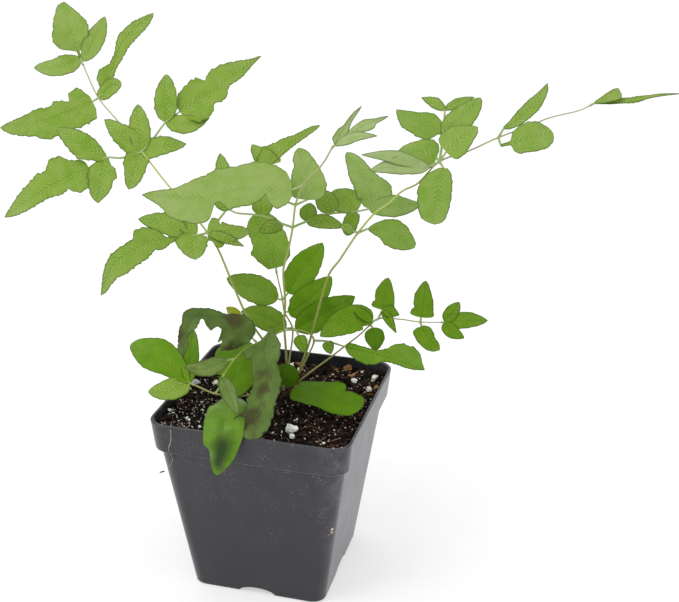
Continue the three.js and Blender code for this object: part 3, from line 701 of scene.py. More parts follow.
def smooth_line(points, count):
    """Evenly spaced points on a smooth curve through the given ones, and the curve's length."""
    known = [np.array(point, float) for point in points]
    if len(known) == 2:
        dense = np.linspace(known[0], known[1], STRAIGHT_STEPS)
    else:
        known = [2 * known[0] - known[1]] + known + [2 * known[-1] - known[-2]]
        dense = []
        for a, b, c, d in zip(known, known[1:], known[2:], known[3:]):
            pairs = ((a, b), (b, c), (c, d))
            before, span, after = (max(np.linalg.norm(q - p) ** 0.5, LEAST_SPAN) for p, q in pairs)
            start = ((b - a) / before - (c - a) / (before + span) + (c - b) / span) * span
            end = ((c - b) / span - (d - b) / (span + after) + (d - c) / after) * span
            for u in np.arange(0, 1, 1 / STEPS_TO_A_SPAN):
                bent = (3 * (c - b) - 2 * start - end) * u**2
                dense.append(b + start * u + bent + (2 * (b - c) + start + end) * u**3)
        dense = np.array(dense + [known[-2]])
    run = np.concatenate([[0], np.cumsum(np.linalg.norm(np.diff(dense, axis=0), axis=1))])
    even = np.linspace(0, run[-1], count)
    return np.stack([np.interp(even, run, dense[:, axis]) for axis in range(3)], axis=1), run[-1]


# %% [markdown]
# A tube round such a line could be extruded ring by ring. Blender's curves do that themselves: a curve with a
# bevel is a tube, as thick at each point as the point's radius says, and it is then made a mesh.

# %% Tubes
def make_tubes(lines, sides=2):
    """One mesh of round tubes. Each line is its points in mm and the radius at each of them."""
    drawing = bpy.data.curves.new("tubes", "CURVE")
    drawing.dimensions = "3D"
    drawing.bevel_depth = MM
    drawing.bevel_resolution = sides
    drawing.use_fill_caps = True
    for points, radii in lines:
        path = drawing.splines.new("POLY")
        path.points.add(len(points) - 1)
        for place, point, radius in zip(path.points, points, radii):
            place.co = (*(Vector(point) * MM), 1)
            place.radius = radius
    piece = bpy.data.objects.new("tubes", drawing)
    bpy.context.collection.objects.link(piece)
    only(piece)
    bpy.ops.object.convert(target="MESH")
    bpy.ops.object.shade_smooth()
    return bpy.context.object


# %% [markdown]
# Peat is full of fibres of old roots and moss, and some of them lie on top of the mix. Hair particles could
# stand for them, but there are few, so each is a thin tapered tube through three places on the mix, lifted
# a little in the middle.

# %% Fibres in the mix
FIBRE_COUNT = 46
FIBRE_POINTS = 8
FIBRE_REACH = 45.0
FIBRE_SHORTEST, FIBRE_LONGEST, FIBRE_BEND = 3, 11, 0.9  # mm, and radians
FIBRE_LIFT, FIBRE_ARCH = 0.4, 1.6  # mm over the mix at its ends, and the most it adds in the middle
FIBRE_THICK, FIBRE_THIN = 0.22, 0.1  # radii in mm
chance = np.random.RandomState(13)
lines = []
for number in range(FIBRE_COUNT):
    x, y = open_place(chance, FIBRE_REACH)
    turn = chance.uniform(0, FULL_TURN)
    length = chance.uniform(FIBRE_SHORTEST, FIBRE_LONGEST)
    bend = chance.uniform(-FIBRE_BEND, FIBRE_BEND)
    knots = []
    for share in (0, 0.5, 1):
        way = turn + bend * share
        px, py = x + math.cos(way) * length * share, y + math.sin(way) * length * share
        px, py = max(-MIX_REACH, min(MIX_REACH, px)), max(-MIX_REACH, min(MIX_REACH, py))
        lifted = FIBRE_LIFT + FIBRE_ARCH * math.sin(share * 3.1) * chance.uniform(0.2, 1)
        knots.append((px, py, mix_height(px, py) + lifted))
    points, length = smooth_line(knots, FIBRE_POINTS)
    radii = np.linspace(FIBRE_THICK, FIBRE_THIN, FIBRE_POINTS) * chance.uniform(0.6, 1.3)
    lines.append((points, radii))
fibres = make_tubes(lines, sides=0)
print("fibres", len(lines))

# %% [markdown]
# A dry fibre is dull, and its colour changes along it, from straw where it is dry to brown where it is
# still damp. At a quarter of a millimetre no relief shows, so a noise through a colour ramp is all it needs.

# %% Finish of the fibres
def fibre_material(name, scale, detail, stops, roughness):
    """A dull thread, mottled along its length."""
    made, tree, spot = new_material(name)
    mottle = add(tree, "TexNoise", {"Vector": spot, "Scale": scale, "Detail": detail})
    straw = add(tree, "ValToRGB", {"Fac": mottle, "stops": stops})
    close_material(tree, {"Base Color": straw, "Roughness": roughness})
    return made


# Dry peat fibre is dull, and straw and brown by turns, in stretches of 11 mm.
straw_stops = [(0.35, "#3a281b"), (0.5, "#6d4e33"), (0.65, "#a98a60")]
peat_fibre = fibre_material("dry_peat_fibre", 90.0, 2.0, straw_stops, 0.8)
finish_piece(fibres, "peat_fibres", "potting_mix", [peat_fibre])

# %% [markdown]
# A pale root hair has dried onto the front of the pot, from the band down over the wall. It could be a line
# in the pot's finish, but it stands off the wall under the band, so it is a tube as the fibres are.

# %% Root hair
HAIR_PLACES = [
    (-40.3, -54.9, 106.5), (-40.5, -54.6, 100.0), (-42.5, -53.7, 93.5), (-41.4, -51.2, 87.0),
    (-43.9, -50.5, 81.0),
]
HAIR_POINTS = 24
HAIR_THICK, HAIR_THIN = 0.24, 0.12
points, length = smooth_line(HAIR_PLACES, HAIR_POINTS)
hair = make_tubes([(points, np.linspace(HAIR_THICK, HAIR_THIN, HAIR_POINTS))], sides=0)
# A dried root is bleached and a little smoother than peat, mottled in stretches of 4 mm.
bleached_stops = [(0.35, "#857a68"), (0.65, "#b9b09c")]
pale_root = fibre_material("dried_pale_root", 260.0, 3.0, bleached_stops, 0.7)
finish_piece(hair, "dried_root_hair", "potting_mix", [pale_root])
print("root hair", round(length, 1), "mm")

# %% [markdown]
# ## The crown
# All the stems grow from a short woody knob, half sunk in the mix. It could be sculpted. A ball of many
# faces, flattened to the knob's height and roughened with two sizes of noise, is close enough, since stems
# hide most of it.

# %% Crown
KNOB_WIDE, KNOB_HIGH = 8.2, 6.4
KNOB_LEVEL = 99.2
BULGE_HEIGHT, BULGE_PITCH = 0.16, 2.6  # as a share of the knob, and in waves to its radius
WART_HEIGHT, WART_PITCH = 0.07, 9
bpy.ops.object.select_all(action="DESELECT")
bpy.ops.mesh.primitive_ico_sphere_add(subdivisions=5, radius=1)
knob = bpy.context.object
for vertex in knob.data.vertices:
    bulge = BULGE_HEIGHT * noise.noise(vertex.co * BULGE_PITCH)
    wart = WART_HEIGHT * noise.noise(vertex.co * WART_PITCH)
    x, y, height = vertex.co * (1 + bulge + wart)
    place = (CROWN_PLACE[0] + x * KNOB_WIDE, CROWN_PLACE[1] + y * KNOB_WIDE, KNOB_LEVEL + height * KNOB_HIGH)
    vertex.co = Vector(place) * MM
bpy.ops.object.shade_smooth()
print("knob", len(knob.data.vertices), "vertices", [round(v, 4) for v in knob.dimensions])

# %% [markdown]
# The knob carries the stubs of old stalks. They stand in a spiral, as leaves do on a shoot, so their places
# come from a turn of 2.4 radians from each to the next, and a little chance makes them uneven.

# %% Stubs of old stalks
STUB_COUNT = 15
STUB_TURN = 2.4
STUB_FOOT = 98
STUB_TOP = 108.5
STUB_POINTS = 7
STUB_INNER, STUB_SPREAD = 2.5, 5.2  # mm from the middle of the crown
STUB_THICK, STUB_THIN = 1.5, 0.7
chance = np.random.RandomState(14)
stubs = []
for number in range(STUB_COUNT):
    turn = number * STUB_TURN
    out = STUB_INNER + STUB_SPREAD * (number / STUB_COUNT) ** 0.5
    x, y = CROWN_PLACE[0] + out * math.cos(turn), CROWN_PLACE[1] + out * math.sin(turn)
    top = STUB_TOP - out * 0.5 + chance.uniform(-1.5, 1.2)
    lean = chance.uniform(0.1, 0.45)
    middle = (x + lean * math.cos(turn), y + lean * math.sin(turn), (STUB_FOOT + top) / 2)
    end = (x + 3 * lean * math.cos(turn), y + 3 * lean * math.sin(turn), top)
    points = smooth_line([(x, y, STUB_FOOT), middle, end], STUB_POINTS)[0]
    stubs.append((points, np.linspace(STUB_THICK, STUB_THIN, STUB_POINTS) * chance.uniform(0.7, 1.1)))
stubs = make_tubes(stubs)
only(knob, stubs)
bpy.ops.object.join()
crown = bpy.context.object
print("crown with stubs", len(crown.data.vertices), "vertices")

# %% [markdown]
# A fern's rootstock is dark, dull and stringy. Its streaks run upwards, which a noise that is stretched four
# times in height gives.

# %% Finish of the crown
# Woody rootstock has no gloss, and its streaks are 1.5 mm across and 6 mm long.
rootstock, tree, spot = new_material("woody_fern_rootstock")
upward = add(tree, "Mapping", {"Vector": spot, "Scale": (1.0, 1.0, 0.25)})
streak = add(tree, "TexNoise", {"Vector": upward, "Scale": 650.0, "Detail": 5.0, "Roughness": 0.7})
stops = [(0.3, "#1d130c"), (0.5, "#3f2a1a"), (0.7, "#6b4a2d")]
brown = add(tree, "ValToRGB", {"Fac": streak, "stops": stops})
skin = add(tree, "Bump", {"Height": streak, "Strength": 0.9, "Distance": 0.0008})
close_material(tree, {"Base Color": brown, "Roughness": 0.9, "Normal": skin})
finish_piece(crown, "crown_knob", "crown_wood", [rootstock], "crown")

# %% [markdown]
# ## Finish of the stalks
# A living fern stalk is green and smooth, straw-coloured where it is older, and brown where it leaves
# the crown. Each stem could have its own material, but they all change in the same way as they rise, so one
# material reads the height.

# %% Stalk finish
STALK_FOOT, STALK_TOP = 0.128, 0.28  # m, the heights between which the colour changes
# Living stalk has a soft sheen. Its mottling is 14 mm, and its fine ribs are 0.8 mm.
stalk, tree, spot = new_material("living_fern_stalk")
z = add(tree, "SeparateXYZ", {"Vector": spot}, "Z")
mottle = add(tree, "TexNoise", {"Vector": spot, "Scale": 70.0, "Detail": 4.0})
rise = add(tree, "Math", {"operation": "MULTIPLY_ADD", 0: mottle, 1: 0.05, 2: z})
height = add(tree, "MapRange", {"Value": rise, "From Min": STALK_FOOT, "From Max": STALK_TOP})
stops = [(0.0, "#6e5c36"), (0.08, "#8f8f50"), (0.4, "#8f9648"), (0.75, "#a3b25c"), (1.0, "#a09a78")]
green = add(tree, "ValToRGB", {"Fac": height, "stops": stops})
ribs = add(tree, "TexNoise", {"Vector": spot, "Scale": 1200.0, "Detail": 2.0})
skin = add(tree, "Bump", {"Height": ribs, "Strength": 0.3, "Distance": 0.0002})
close_material(tree, {"Base Color": green, "Roughness": 0.5, "IOR": 1.45, "Normal": skin})
print("stalk finish", len(tree.nodes), "nodes")

# %% [markdown]
# ## Finish of the leaflets
# A leaflet's midrib sends out veins every 2 to 3 mm, which fork on their way to the margin. They could be
# modelled, at thousands of faces for each leaflet. As a pattern they cost nothing, as long as it follows
# the leaflet. So it reads a UV map that is laid out in millimetres along the midrib and across it.

# %% Veins
VEIN_SPACING = 2.7  # mm
VEIN_SLANT = 1.2  # mm towards the tip for each mm across
VEIN_WANDER = 3.4  # mm


def draw_veins(tree, spot, along, away, mottle):
    """Slanting veins that fork and wander a little, from 0 between them to 1. Distances are in mm."""
    slant = add(tree, "Math", {"operation": "MULTIPLY_ADD", 0: away, 1: -VEIN_SLANT, 2: along})
    slant = add(tree, "Math", {"operation": "MULTIPLY_ADD", 0: mottle, 1: VEIN_WANDER, 2: slant})
    beat = add(tree, "Math", {"operation": "DIVIDE", 0: slant, 1: VEIN_SPACING})
    beat = add(tree, "Math", {"operation": "FRACT", 0: beat})
    # The fork: within 3 mm of the midrib each line opens into two, a quarter of the spacing to each side.
    eased = {"interpolation_type": "SMOOTHSTEP"}
    fork = add(tree, "MapRange", {**eased, "Value": away, "From Min": 0.5, "From Max": 3.0, "To Max": 0.25})
    for middle in (0.5, fork):
        beat = add(tree, "Math", {"operation": "SUBTRACT", 0: beat, 1: middle})
        beat = add(tree, "Math", {"operation": "ABSOLUTE", 0: beat})
    vein = add(tree, "MapRange", {**eased, "Value": beat, "From Max": 0.19, "To Min": 1.0, "To Max": 0.0})
    # Patches of 5 mm, where the veins are fainter.
    patch = add(tree, "TexNoise", {"Vector": spot, "Scale": 210.0, "Detail": 2.0})
    strong = add(tree, "MapRange", {"Value": patch, "From Min": 0.36, "From Max": 0.64, "To Min": 0.35})
    return add(tree, "Math", {"operation": "MULTIPLY", 0: vein, 1: strong})


# %% [markdown]
# The green itself isn't even. It is mottled round the leaflet's own tone, and over it lie the veins, with
# painted shade in the veins of darker leaflets, the midrib, a pale bloom that is partly painted sheen and a
# thin dark margin, and on wilted leaflets also brown dead patches. All of them could be separate materials
# with masks. Mixed one over the other they stay one finish, in the order in which they lie on a real leaflet.
# The tone, the bloom with its painted sheen and the distance to the margin are stored in the mesh.

# %% Green
MARGIN_NEAR, MARGIN_FAR = 0.1, 0.75  # mm from the edge at which the dark margin begins and ends to fade
MOTTLE_SHARE, BLOOM_AND_SHEEN_SHARE, MARGIN_SHARE = 1.3, 1.7, 0.6


def colour_leaf(tree, reading, colours, veins, midrib, scorch):
    """A leaflet's colour. Veins, midrib and scorch say how strongly each of them shows."""
    dark, middle, light, painted_vein_shade, light_vein, bloom, margin = colours
    varied = add(tree, "Math", {"operation": "SUBTRACT", 0: reading["mottle"], 1: 0.5})
    varied = add(tree, "Math", {"operation": "MULTIPLY", 0: varied, 1: reading["tone"]})
    shade = add(tree, "Math", {"operation": "MULTIPLY_ADD", 0: varied, 1: MOTTLE_SHARE, 2: reading["tone"]})
    green = add(tree, "ValToRGB", {"Fac": shade, "stops": [(0.0, dark), (0.5, middle), (1.0, light)]})
    # On darker leaflets the veins are painted shade; on lighter ones they are pale veins.
    line_stops = [(0.7, painted_vein_shade), (0.78, light_vein)]
    line_colour = add(tree, "ValToRGB", {"Fac": reading["tone"], "stops": line_stops})
    for lines, share in ((reading["vein"], veins), (reading["rib"], midrib)):
        shown = add(tree, "Math", {"operation": "MULTIPLY", 0: lines, 1: share})
        green = add(tree, "Mix", {"data_type": "RGBA", 0: shown, UNDER: green, OVER: line_colour}, MIXED)
    # The bloom is partly painted sheen: whitish patches over the green, where the mottling is high.
    painted_sheen_patches = add(tree, "Math", {"operation": "MULTIPLY", 0: reading["bloom"], 1: reading["mottle"]})
    painted_sheen_patches = add(tree, "Math", {"operation": "MULTIPLY", 0: painted_sheen_patches, 1: BLOOM_AND_SHEEN_SHARE, "use_clamp": True})
    green = add(tree, "Mix", {"data_type": "RGBA", 0: painted_sheen_patches, UNDER: green, OVER: linear(bloom)}, MIXED)
    edge = {"Value": reading["to_margin"], "From Min": MARGIN_NEAR, "From Max": MARGIN_FAR}
    edge = add(tree, "MapRange", {**edge, "To Min": MARGIN_SHARE, "To Max": 0.0})
    green = add(tree, "Mix", {"data_type": "RGBA", 0: edge, UNDER: green, OVER: linear(margin)}, MIXED)
    if scorch:
        # Dead patches of 13 mm.
        dead = add(tree, "TexNoise", {"Vector": reading["spot"], "Scale": 75.0, "Detail": 3.0})
        dead = add(tree, "MapRange", {"Value": dead, "From Min": 0.54, "From Max": 0.66, "To Max": scorch})
        green = add(tree, "Mix", {"data_type": "RGBA", 0: dead, UNDER: green, OVER: linear("#443420")}, MIXED)
    return green


# %% [markdown]
# Living tissue lets light through, and its upper face has a weak waxy sheen, over veins that are sunk in it.
# Subsurface scattering could carry the light, but a blade of 0.3 mm is thinner than that is meant for. A
# plain surface mixed with a translucent one is the usual way for leaves, and it renders faster.

# %% Leaf material
def leaf_material(name, colours, veins, midrib, sheen, through, relief, scorch=0.0, dullness=0.42):
    """Leaf tissue. Through is the light that passes it, and relief is how far its veins stand out."""
    made, tree, spot = new_material(name)
    # Mottling of 8 mm, and cells of 1 mm, drawn far coarser than real cells so that they show.
    mottle = add(tree, "TexNoise", {"Vector": spot, "Scale": 130.0, "Detail": 4.0, "Roughness": 0.6})
    cells = add(tree, "TexNoise", {"Vector": spot, "Scale": 900.0, "Detail": 3.0})
    along = add(tree, "SeparateXYZ", {"Vector": add(tree, "UVMap", {"uv_map": "leaf_mm"})}, "X")
    away = add(tree, "Math", {"operation": "ABSOLUTE", 0: along.node.outputs["Y"]})
    vein = draw_veins(tree, spot, along, away, mottle)
    rib = {"Value": away, "From Min": 0.12, "From Max": 0.5, "To Min": 1.0, "To Max": 0.0}
    rib = add(tree, "MapRange", rib)
    stored = add(tree, "Attribute", {"attribute_name": "leaf_place"}, "Color")
    to_margin, tone, bloom = add(tree, "SeparateColor", {"Color": stored}).node.outputs
    reading = {"spot": spot, "mottle": mottle, "vein": vein, "rib": rib}
    reading.update({"to_margin": to_margin, "tone": tone, "bloom": bloom})
    green = colour_leaf(tree, reading, colours, veins, midrib, scorch)
    height = add(tree, "Math", {"operation": "MULTIPLY_ADD", 0: vein, 1: relief, 2: cells})
    height = add(tree, "Math", {"operation": "MULTIPLY_ADD", 0: rib, 1: 2 * relief, 2: height})
    skin = add(tree, "Bump", {"Height": height, "Strength": 0.35, "Distance": 0.00025})
    rough = add(tree, "Math", {"operation": "MULTIPLY_ADD", 0: mottle, 1: 0.3, 2: dullness - 0.08})
    waxy = {"Roughness": rough, "IOR": 1.42, "Specular IOR Level": sheen}
    face = add(tree, "BsdfPrincipled", {"Base Color": green, "Normal": skin, **waxy})
    glow = add(tree, "BsdfTranslucent", {"Color": green, "Normal": skin})
    blade = add(tree, "MixShader", {0: through, 1: face, 2: glow})
    add(tree, "OutputMaterial", {"Surface": blade})
    print(name, len(tree.nodes), "nodes")
    return made


# %% [markdown]
# The same tissue comes in five finishes. The underside is paler and duller, with raised veins. Wilted tissue
# is olive with brown patches, a limp leaflet is wet and shines, and a dying one turns yellow. Each set of
# colours is dark, middle and light green, painted vein shade and light veins, bloom with painted sheen, and
# margin.

# %% Leaf finishes
LEAF_TOP = ("#3c6404", "#709f08", "#88a832", "#4c7a06", "#bfcf84", "#afc18a", "#36500f")
LEAF_UNDER = ("#5f8232", "#82a348", "#a4bb68", "#6f9440", "#bccb90", "#b6c69a", "#5a7434")
WILTED_TOP = ("#2f4414", "#557226", "#7c983a", "#3a4a1c", "#98a868", "#93a568", "#3c3a20")
LIMP_TOP = ("#143003", "#66940f", "#88a832", "#3f6a06", "#b4c57c", "#afc18a", "#3c5a12")
YELLOW_TOP = ("#6f8a10", "#9aa81c", "#b3b845", "#848c14", "#c9cb84", "#c2c48a", "#6f6a1c")
# The upper face is a yellowish green with fine paler veins sunk in it, and a weak waxy sheen.
leaf_top = leaf_material(
    "living_leaf_upper_face", LEAF_TOP, veins=0.62, midrib=0.25, sheen=0.22, through=0.3, relief=-1.6
)
# The underside is a greyer green with hardly any sheen, and its veins stand out.
leaf_under = leaf_material(
    "living_leaf_underside", LEAF_UNDER, veins=0.45, midrib=0.4, sheen=0.15, through=0.3, relief=1.2
)
# Wilted tissue is a dark olive, creased along its veins, with dead brown patches.
wilted_top = leaf_material(
    "wilted_leaf_tissue", WILTED_TOP, veins=0.45, midrib=0.25, sheen=0.3, through=0.15, relief=-1.8,
    scorch=0.75, dullness=0.36,
)
# Limp tissue is soaked, with a shine. Its darkest green is there for the painted shade in its hollow.
limp_top = leaf_material(
    "limp_glossy_leaf_tissue", LIMP_TOP, veins=0.4, midrib=0.2, sheen=0.3, through=0.25, relief=-1.6,
    dullness=0.12,
)
# Yellowing tissue has lost its green, so its veins hardly show.
yellow_top = leaf_material(
    "yellowing_leaf_tissue", YELLOW_TOP, veins=0.4, midrib=0.2, sheen=0.22, through=0.3, relief=-1.6
)

# %% [markdown]
# ## Outlines of the leaflets
# Each leaflet could be cut from a sheet to its own outline, but then no two would have the same mesh. Here
# an outline only says how wide the leaflet is on each side of its midrib, and one grid is laid out to it.
# The first list of an outline is its left side and the second its right. Each pair is a share of the length
# and a share of the leaflet's half width, both in hundredths, so 100 is as wide as the CAD node. First come
# the entire ones, with no lobes.

# %% Entire outlines
ENTIRE_OUTLINES = {
    "oval": (
        [(0, 20), (5, 50), (15, 82), (30, 98), (45, 100), (62, 88), (80, 58), (92, 30), (100, 0)],
        [(0, 20), (4, 42), (13, 74), (28, 96), (42, 100), (62, 86), (80, 60), (93, 30), (100, 0)],
    ),
    "lance": (
        [(0, 25), (10, 65), (25, 92), (42, 100), (60, 85), (80, 50), (100, 0)],
        [(0, 20), (8, 55), (25, 88), (45, 100), (65, 80), (85, 42), (100, 0)],
    ),
    "blunt": (
        [(0, 20), (6, 50), (16, 80), (40, 98), (65, 100), (80, 90), (91, 62), (97, 35), (100, 0)],
        [(0, 25), (8, 65), (20, 88), (40, 100), (62, 100), (80, 82), (90, 58), (97, 30), (100, 0)],
    ),
    "belly": (
        [(0, 30), (6, 60), (15, 80), (36, 130), (56, 114), (75, 80), (87, 55), (95, 30), (100, 0)],
        [(0, 20), (14, 50), (30, 72), (42, 77), (58, 72), (73, 56), (90, 30), (100, 0)],
    ),
    "waisted": (
        [(0, 20), (16, 50), (25, 83), (40, 100), (50, 83), (70, 74), (82, 50), (90, 30), (100, 0)],
        [(0, 20), (12, 60), (25, 90), (40, 100), (55, 90), (75, 75), (88, 50), (96, 25), (100, 0)],
    ),
    "flared": (
        [(0, 50), (5, 80), (15, 100), (50, 100), (72, 85), (88, 55), (100, 0)],
        [(0, 50), (5, 90), (15, 113), (30, 130), (42, 125), (60, 90), (80, 60), (93, 30), (100, 0)],
    ),
    "heart": (
        [(0, 40), (10, 75), (20, 100), (35, 120), (44, 97), (64, 85), (80, 78), (93, 48), (100, 0)],
        [(0, 40), (10, 75), (20, 95), (35, 100), (64, 98), (80, 86), (93, 48), (100, 0)],
    ),
    "wedge": (
        [(0, 30), (5, 70), (15, 85), (50, 82), (75, 52), (90, 30), (100, 0)],
        [(0, 40), (6, 80), (13, 100), (26, 105), (39, 75), (59, 50), (75, 45), (90, 30), (100, 0)],
    ),
    "spoon": (
        [(0, 12), (12, 38), (30, 65), (45, 82), (56, 84), (70, 70), (86, 45), (96, 25), (100, 0)],
        [(0, 12), (12, 42), (28, 72), (42, 92), (55, 102), (70, 92), (86, 66), (96, 33), (100, 0)],
    ),
    "upright": (
        [(0, 60), (8, 105), (30, 105), (56, 86), (67, 62), (78, 58), (90, 37), (100, 0)],
        [(0, 60), (6, 90), (22, 100), (44, 84), (65, 68), (78, 56), (90, 40), (100, 0)],
    ),
    "drooping": (
        [(0, 20), (8, 45), (20, 62), (35, 75), (55, 78), (75, 70), (92, 53), (97, 35), (100, 0)],
        [(0, 20), (8, 50), (20, 85), (35, 112), (52, 120), (72, 110), (90, 88), (97, 50), (100, 0)],
    ),
    "round_base": (
        [(0, 55), (3, 80), (8, 100), (20, 112), (45, 112), (66, 85), (85, 42), (100, 0)],
        [(0, 50), (4, 80), (12, 102), (25, 108), (42, 100), (64, 76), (86, 45), (100, 0)],
    ),
    "side_swept": (
        [(0, 6), (7, 10), (11, 85), (16, 113), (38, 122), (58, 122), (74, 95), (88, 50), (100, 0)],
        [(0, 6), (7, 10), (13, 50), (21, 82), (33, 97), (45, 80), (58, 46), (78, 24), (100, 0)],
    ),
    "broad_side": (
        [(0, 20), (10, 55), (25, 72), (45, 68), (61, 48), (84, 36), (100, 0)],
        [(0, 50), (8, 90), (20, 108), (50, 105), (73, 88), (90, 57), (100, 0)],
    ),
    "hanging": (
        [(0, 30), (5, 60), (20, 95), (55, 100), (68, 78), (78, 62), (90, 40), (100, 0)],
        [(0, 30), (6, 75), (20, 97), (50, 100), (73, 95), (87, 60), (100, 0)],
    ),
    "disc": (
        [(0, 10), (18, 15), (24, 70), (38, 110), (60, 120), (80, 100), (93, 60), (100, 0)],
        [(0, 10), (18, 15), (24, 70), (38, 105), (60, 110), (80, 92), (93, 55), (100, 0)],
    ),
}
print("entire outlines", len(ENTIRE_OUTLINES))

# %% [markdown]
# The lobed outlines belong to the tall left frond above all. Each lobe is a rise and a fall of the width, so
# a lobe takes three or four pairs where a smooth side takes one.

# %% Lobed outlines
LOBED_OUTLINES = {
    "eared": (
        [(0, 40), (3, 90), (8, 105), (17, 98), (23, 78), (36, 90), (53, 88), (73, 62), (90, 34), (100, 0)],
        [(0, 40), (3, 100), (10, 115), (20, 102), (36, 96), (53, 78), (73, 52), (89, 30), (100, 0)],
    ),
    "low_wide": (
        [(0, 30), (8, 45), (25, 60), (45, 80), (60, 95), (66, 86), (69, 56), (78, 66), (90, 64), (97, 40),
         (100, 0)],
        [(0, 30), (5, 70), (14, 100), (30, 112), (55, 102), (80, 94), (92, 80), (98, 50), (100, 0)],
    ),
    "low_lobed": (
        [(0, 10), (10, 30), (18, 53), (26, 46), (36, 72), (47, 82), (58, 85), (70, 79), (78, 54), (87, 34),
         (97, 16), (100, 0)],
        [(0, 8), (10, 10), (16, 45), (25, 83), (35, 96), (41, 58), (50, 53), (61, 53), (73, 37), (87, 18),
         (100, 0)],
    ),
    "outer_lobed": (
        [(0, 30), (4, 75), (12, 100), (19, 105), (27, 85), (30, 55), (35, 70), (42, 66), (50, 52),
         (60, 48), (75, 43), (88, 30), (100, 0)],
        [(0, 30), (4, 60), (12, 75), (19, 110), (27, 127), (34, 120), (40, 85), (50, 93), (60, 78),
         (75, 55), (88, 28), (100, 0)],
    ),
    "inner_lobed": (
        [(0, 30), (5, 60), (10, 80), (16, 90), (25, 102), (33, 105), (39, 72), (50, 94), (58, 90),
         (71, 66), (81, 42), (89, 20), (100, 0)],
        [(0, 30), (5, 80), (12, 105), (20, 105), (27, 85), (34, 56), (40, 70), (46, 60), (56, 24),
         (68, 28), (84, 14), (100, 0)],
    ),
    "top_outer": (
        [(0, 50), (4, 100), (8, 110), (22, 117), (34, 100), (44, 107), (56, 110), (64, 86), (75, 72),
         (87, 53), (94, 32), (100, 0)],
        [(0, 30), (3, 60), (5, 90), (12, 105), (18, 97), (22, 56), (30, 79), (37, 88), (45, 66), (58, 72),
         (73, 50), (87, 27), (100, 0)],
    ),
    "top_inner": (
        [(0, 50), (6, 110), (12, 145), (20, 135), (26, 95), (30, 60), (42, 42), (50, 65), (60, 97),
         (78, 83), (90, 50), (100, 0)],
        [(0, 30), (7, 55), (14, 40), (24, 32), (36, 63), (50, 90), (67, 100), (84, 79), (95, 40), (100, 0)],
    ),
    "end_broad": (
        [(0, 6), (12, 8), (15, 30), (19, 70), (25, 104), (39, 120), (57, 98), (70, 86), (84, 62), (95, 40),
         (100, 0)],
        [(0, 6), (12, 8), (17, 30), (25, 56), (37, 88), (51, 96), (64, 77), (78, 50), (89, 25), (100, 0)],
    ),
    "long_lobed": (
        [(0, 30), (4, 68), (10, 85), (15, 62), (17.5, 20), (20, 45), (30, 74), (45, 76), (50, 32),
         (53, 40), (57, 100), (63, 120), (73, 107), (80, 87), (86, 50), (93, 25), (100, 0)],
        [(0, 30), (4, 70), (10, 90), (22, 112), (35, 100), (45, 98), (55, 84), (63, 76), (72, 55),
         (80, 32), (90, 20), (100, 0)],
    ),
    "late_lobed": (
        [(0, 10), (5, 36), (20, 32), (38, 30), (49, 60), (57, 105), (67, 130), (78, 128), (87, 105),
         (92, 70), (96, 32), (100, 0)],
        [(0, 10), (5, 40), (13, 65), (25, 88), (33, 91), (44, 70), (52, 37), (63, 30), (78, 32), (90, 22),
         (100, 0)],
    ),
}
print("lobed outlines", len(LOBED_OUTLINES))

# %% [markdown]
# Some leaflets are seen from the side, are half unrolled, or have shrivelled. They could be bent into that
# shape, but a narrow or a ragged outline gives the same view with less work.

# %% Odd outlines
ODD_OUTLINES = {
    "swept": (
        [(0, 60), (8, 100), (19, 140), (30, 114), (44, 90), (61, 50), (89, 30), (100, 0)],
        [(0, 20), (25, 32), (50, 28), (89, 20), (100, 0)],
    ),
    "tailed": (
        [(0, 20), (10, 70), (25, 62), (40, 30), (70, 26), (100, 0)],
        [(0, 30), (10, 90), (30, 60), (50, 34), (80, 20), (100, 0)],
    ),
    "forked": (
        [(0, 12), (20, 20), (45, 50), (60, 55), (75, 30), (100, 0)],
        [(0, 12), (25, 25), (50, 50), (66, 75), (72, 70), (78, 30), (90, 20), (100, 0)],
    ),
    "half_blade": (
        [(0, 20), (50, 35), (80, 30), (100, 0)],
        [(0, 20), (30, 95), (62, 175), (70, 150), (85, 80), (100, 0)],
    ),
    "triangle": (
        [(0, 30), (50, 35), (80, 25), (100, 0)],
        [(0, 190), (25, 160), (50, 115), (75, 60), (100, 0)],
    ),
    "crumpled": (
        [(0, 50), (3, 105), (7, 115), (14, 105), (24, 85), (30, 62), (45, 85), (60, 80), (72, 102),
         (85, 115), (93, 100), (100, 10)],
        [(0, 40), (4, 100), (10, 115), (20, 80), (33, 90), (50, 72), (66, 82), (78, 60), (90, 72),
         (97, 40), (100, 0)],
    ),
    "shrivelled": (
        [(0, 40), (5, 130), (12, 220), (19, 235), (22, 170), (25, 200), (30, 100), (35, 90), (43, 120),
         (49, 90), (53, 30), (60, 65), (68, 68), (75, 40), (79, 12), (88, 25), (100, 0)],
        [(0, 40), (6, 90), (16, 110), (26, 70), (33, 34), (44, 48), (55, 55), (62, 85), (70, 58), (78, 63),
         (92, 56), (100, 0)],
    ),
}
OUTLINES = {**ENTIRE_OUTLINES, **LOBED_OUTLINES, **ODD_OUTLINES}
print("outlines", len(OUTLINES))

# %% [markdown]
# ## One grid for every leaflet
# A leaflet could be drawn out of its base row by row, as the pot is. With so many of them, it is quicker
# to make one flat grid and copy its mesh. Its rows follow each other along the midrib, a little closer
# together at both ends, where outlines bend most.

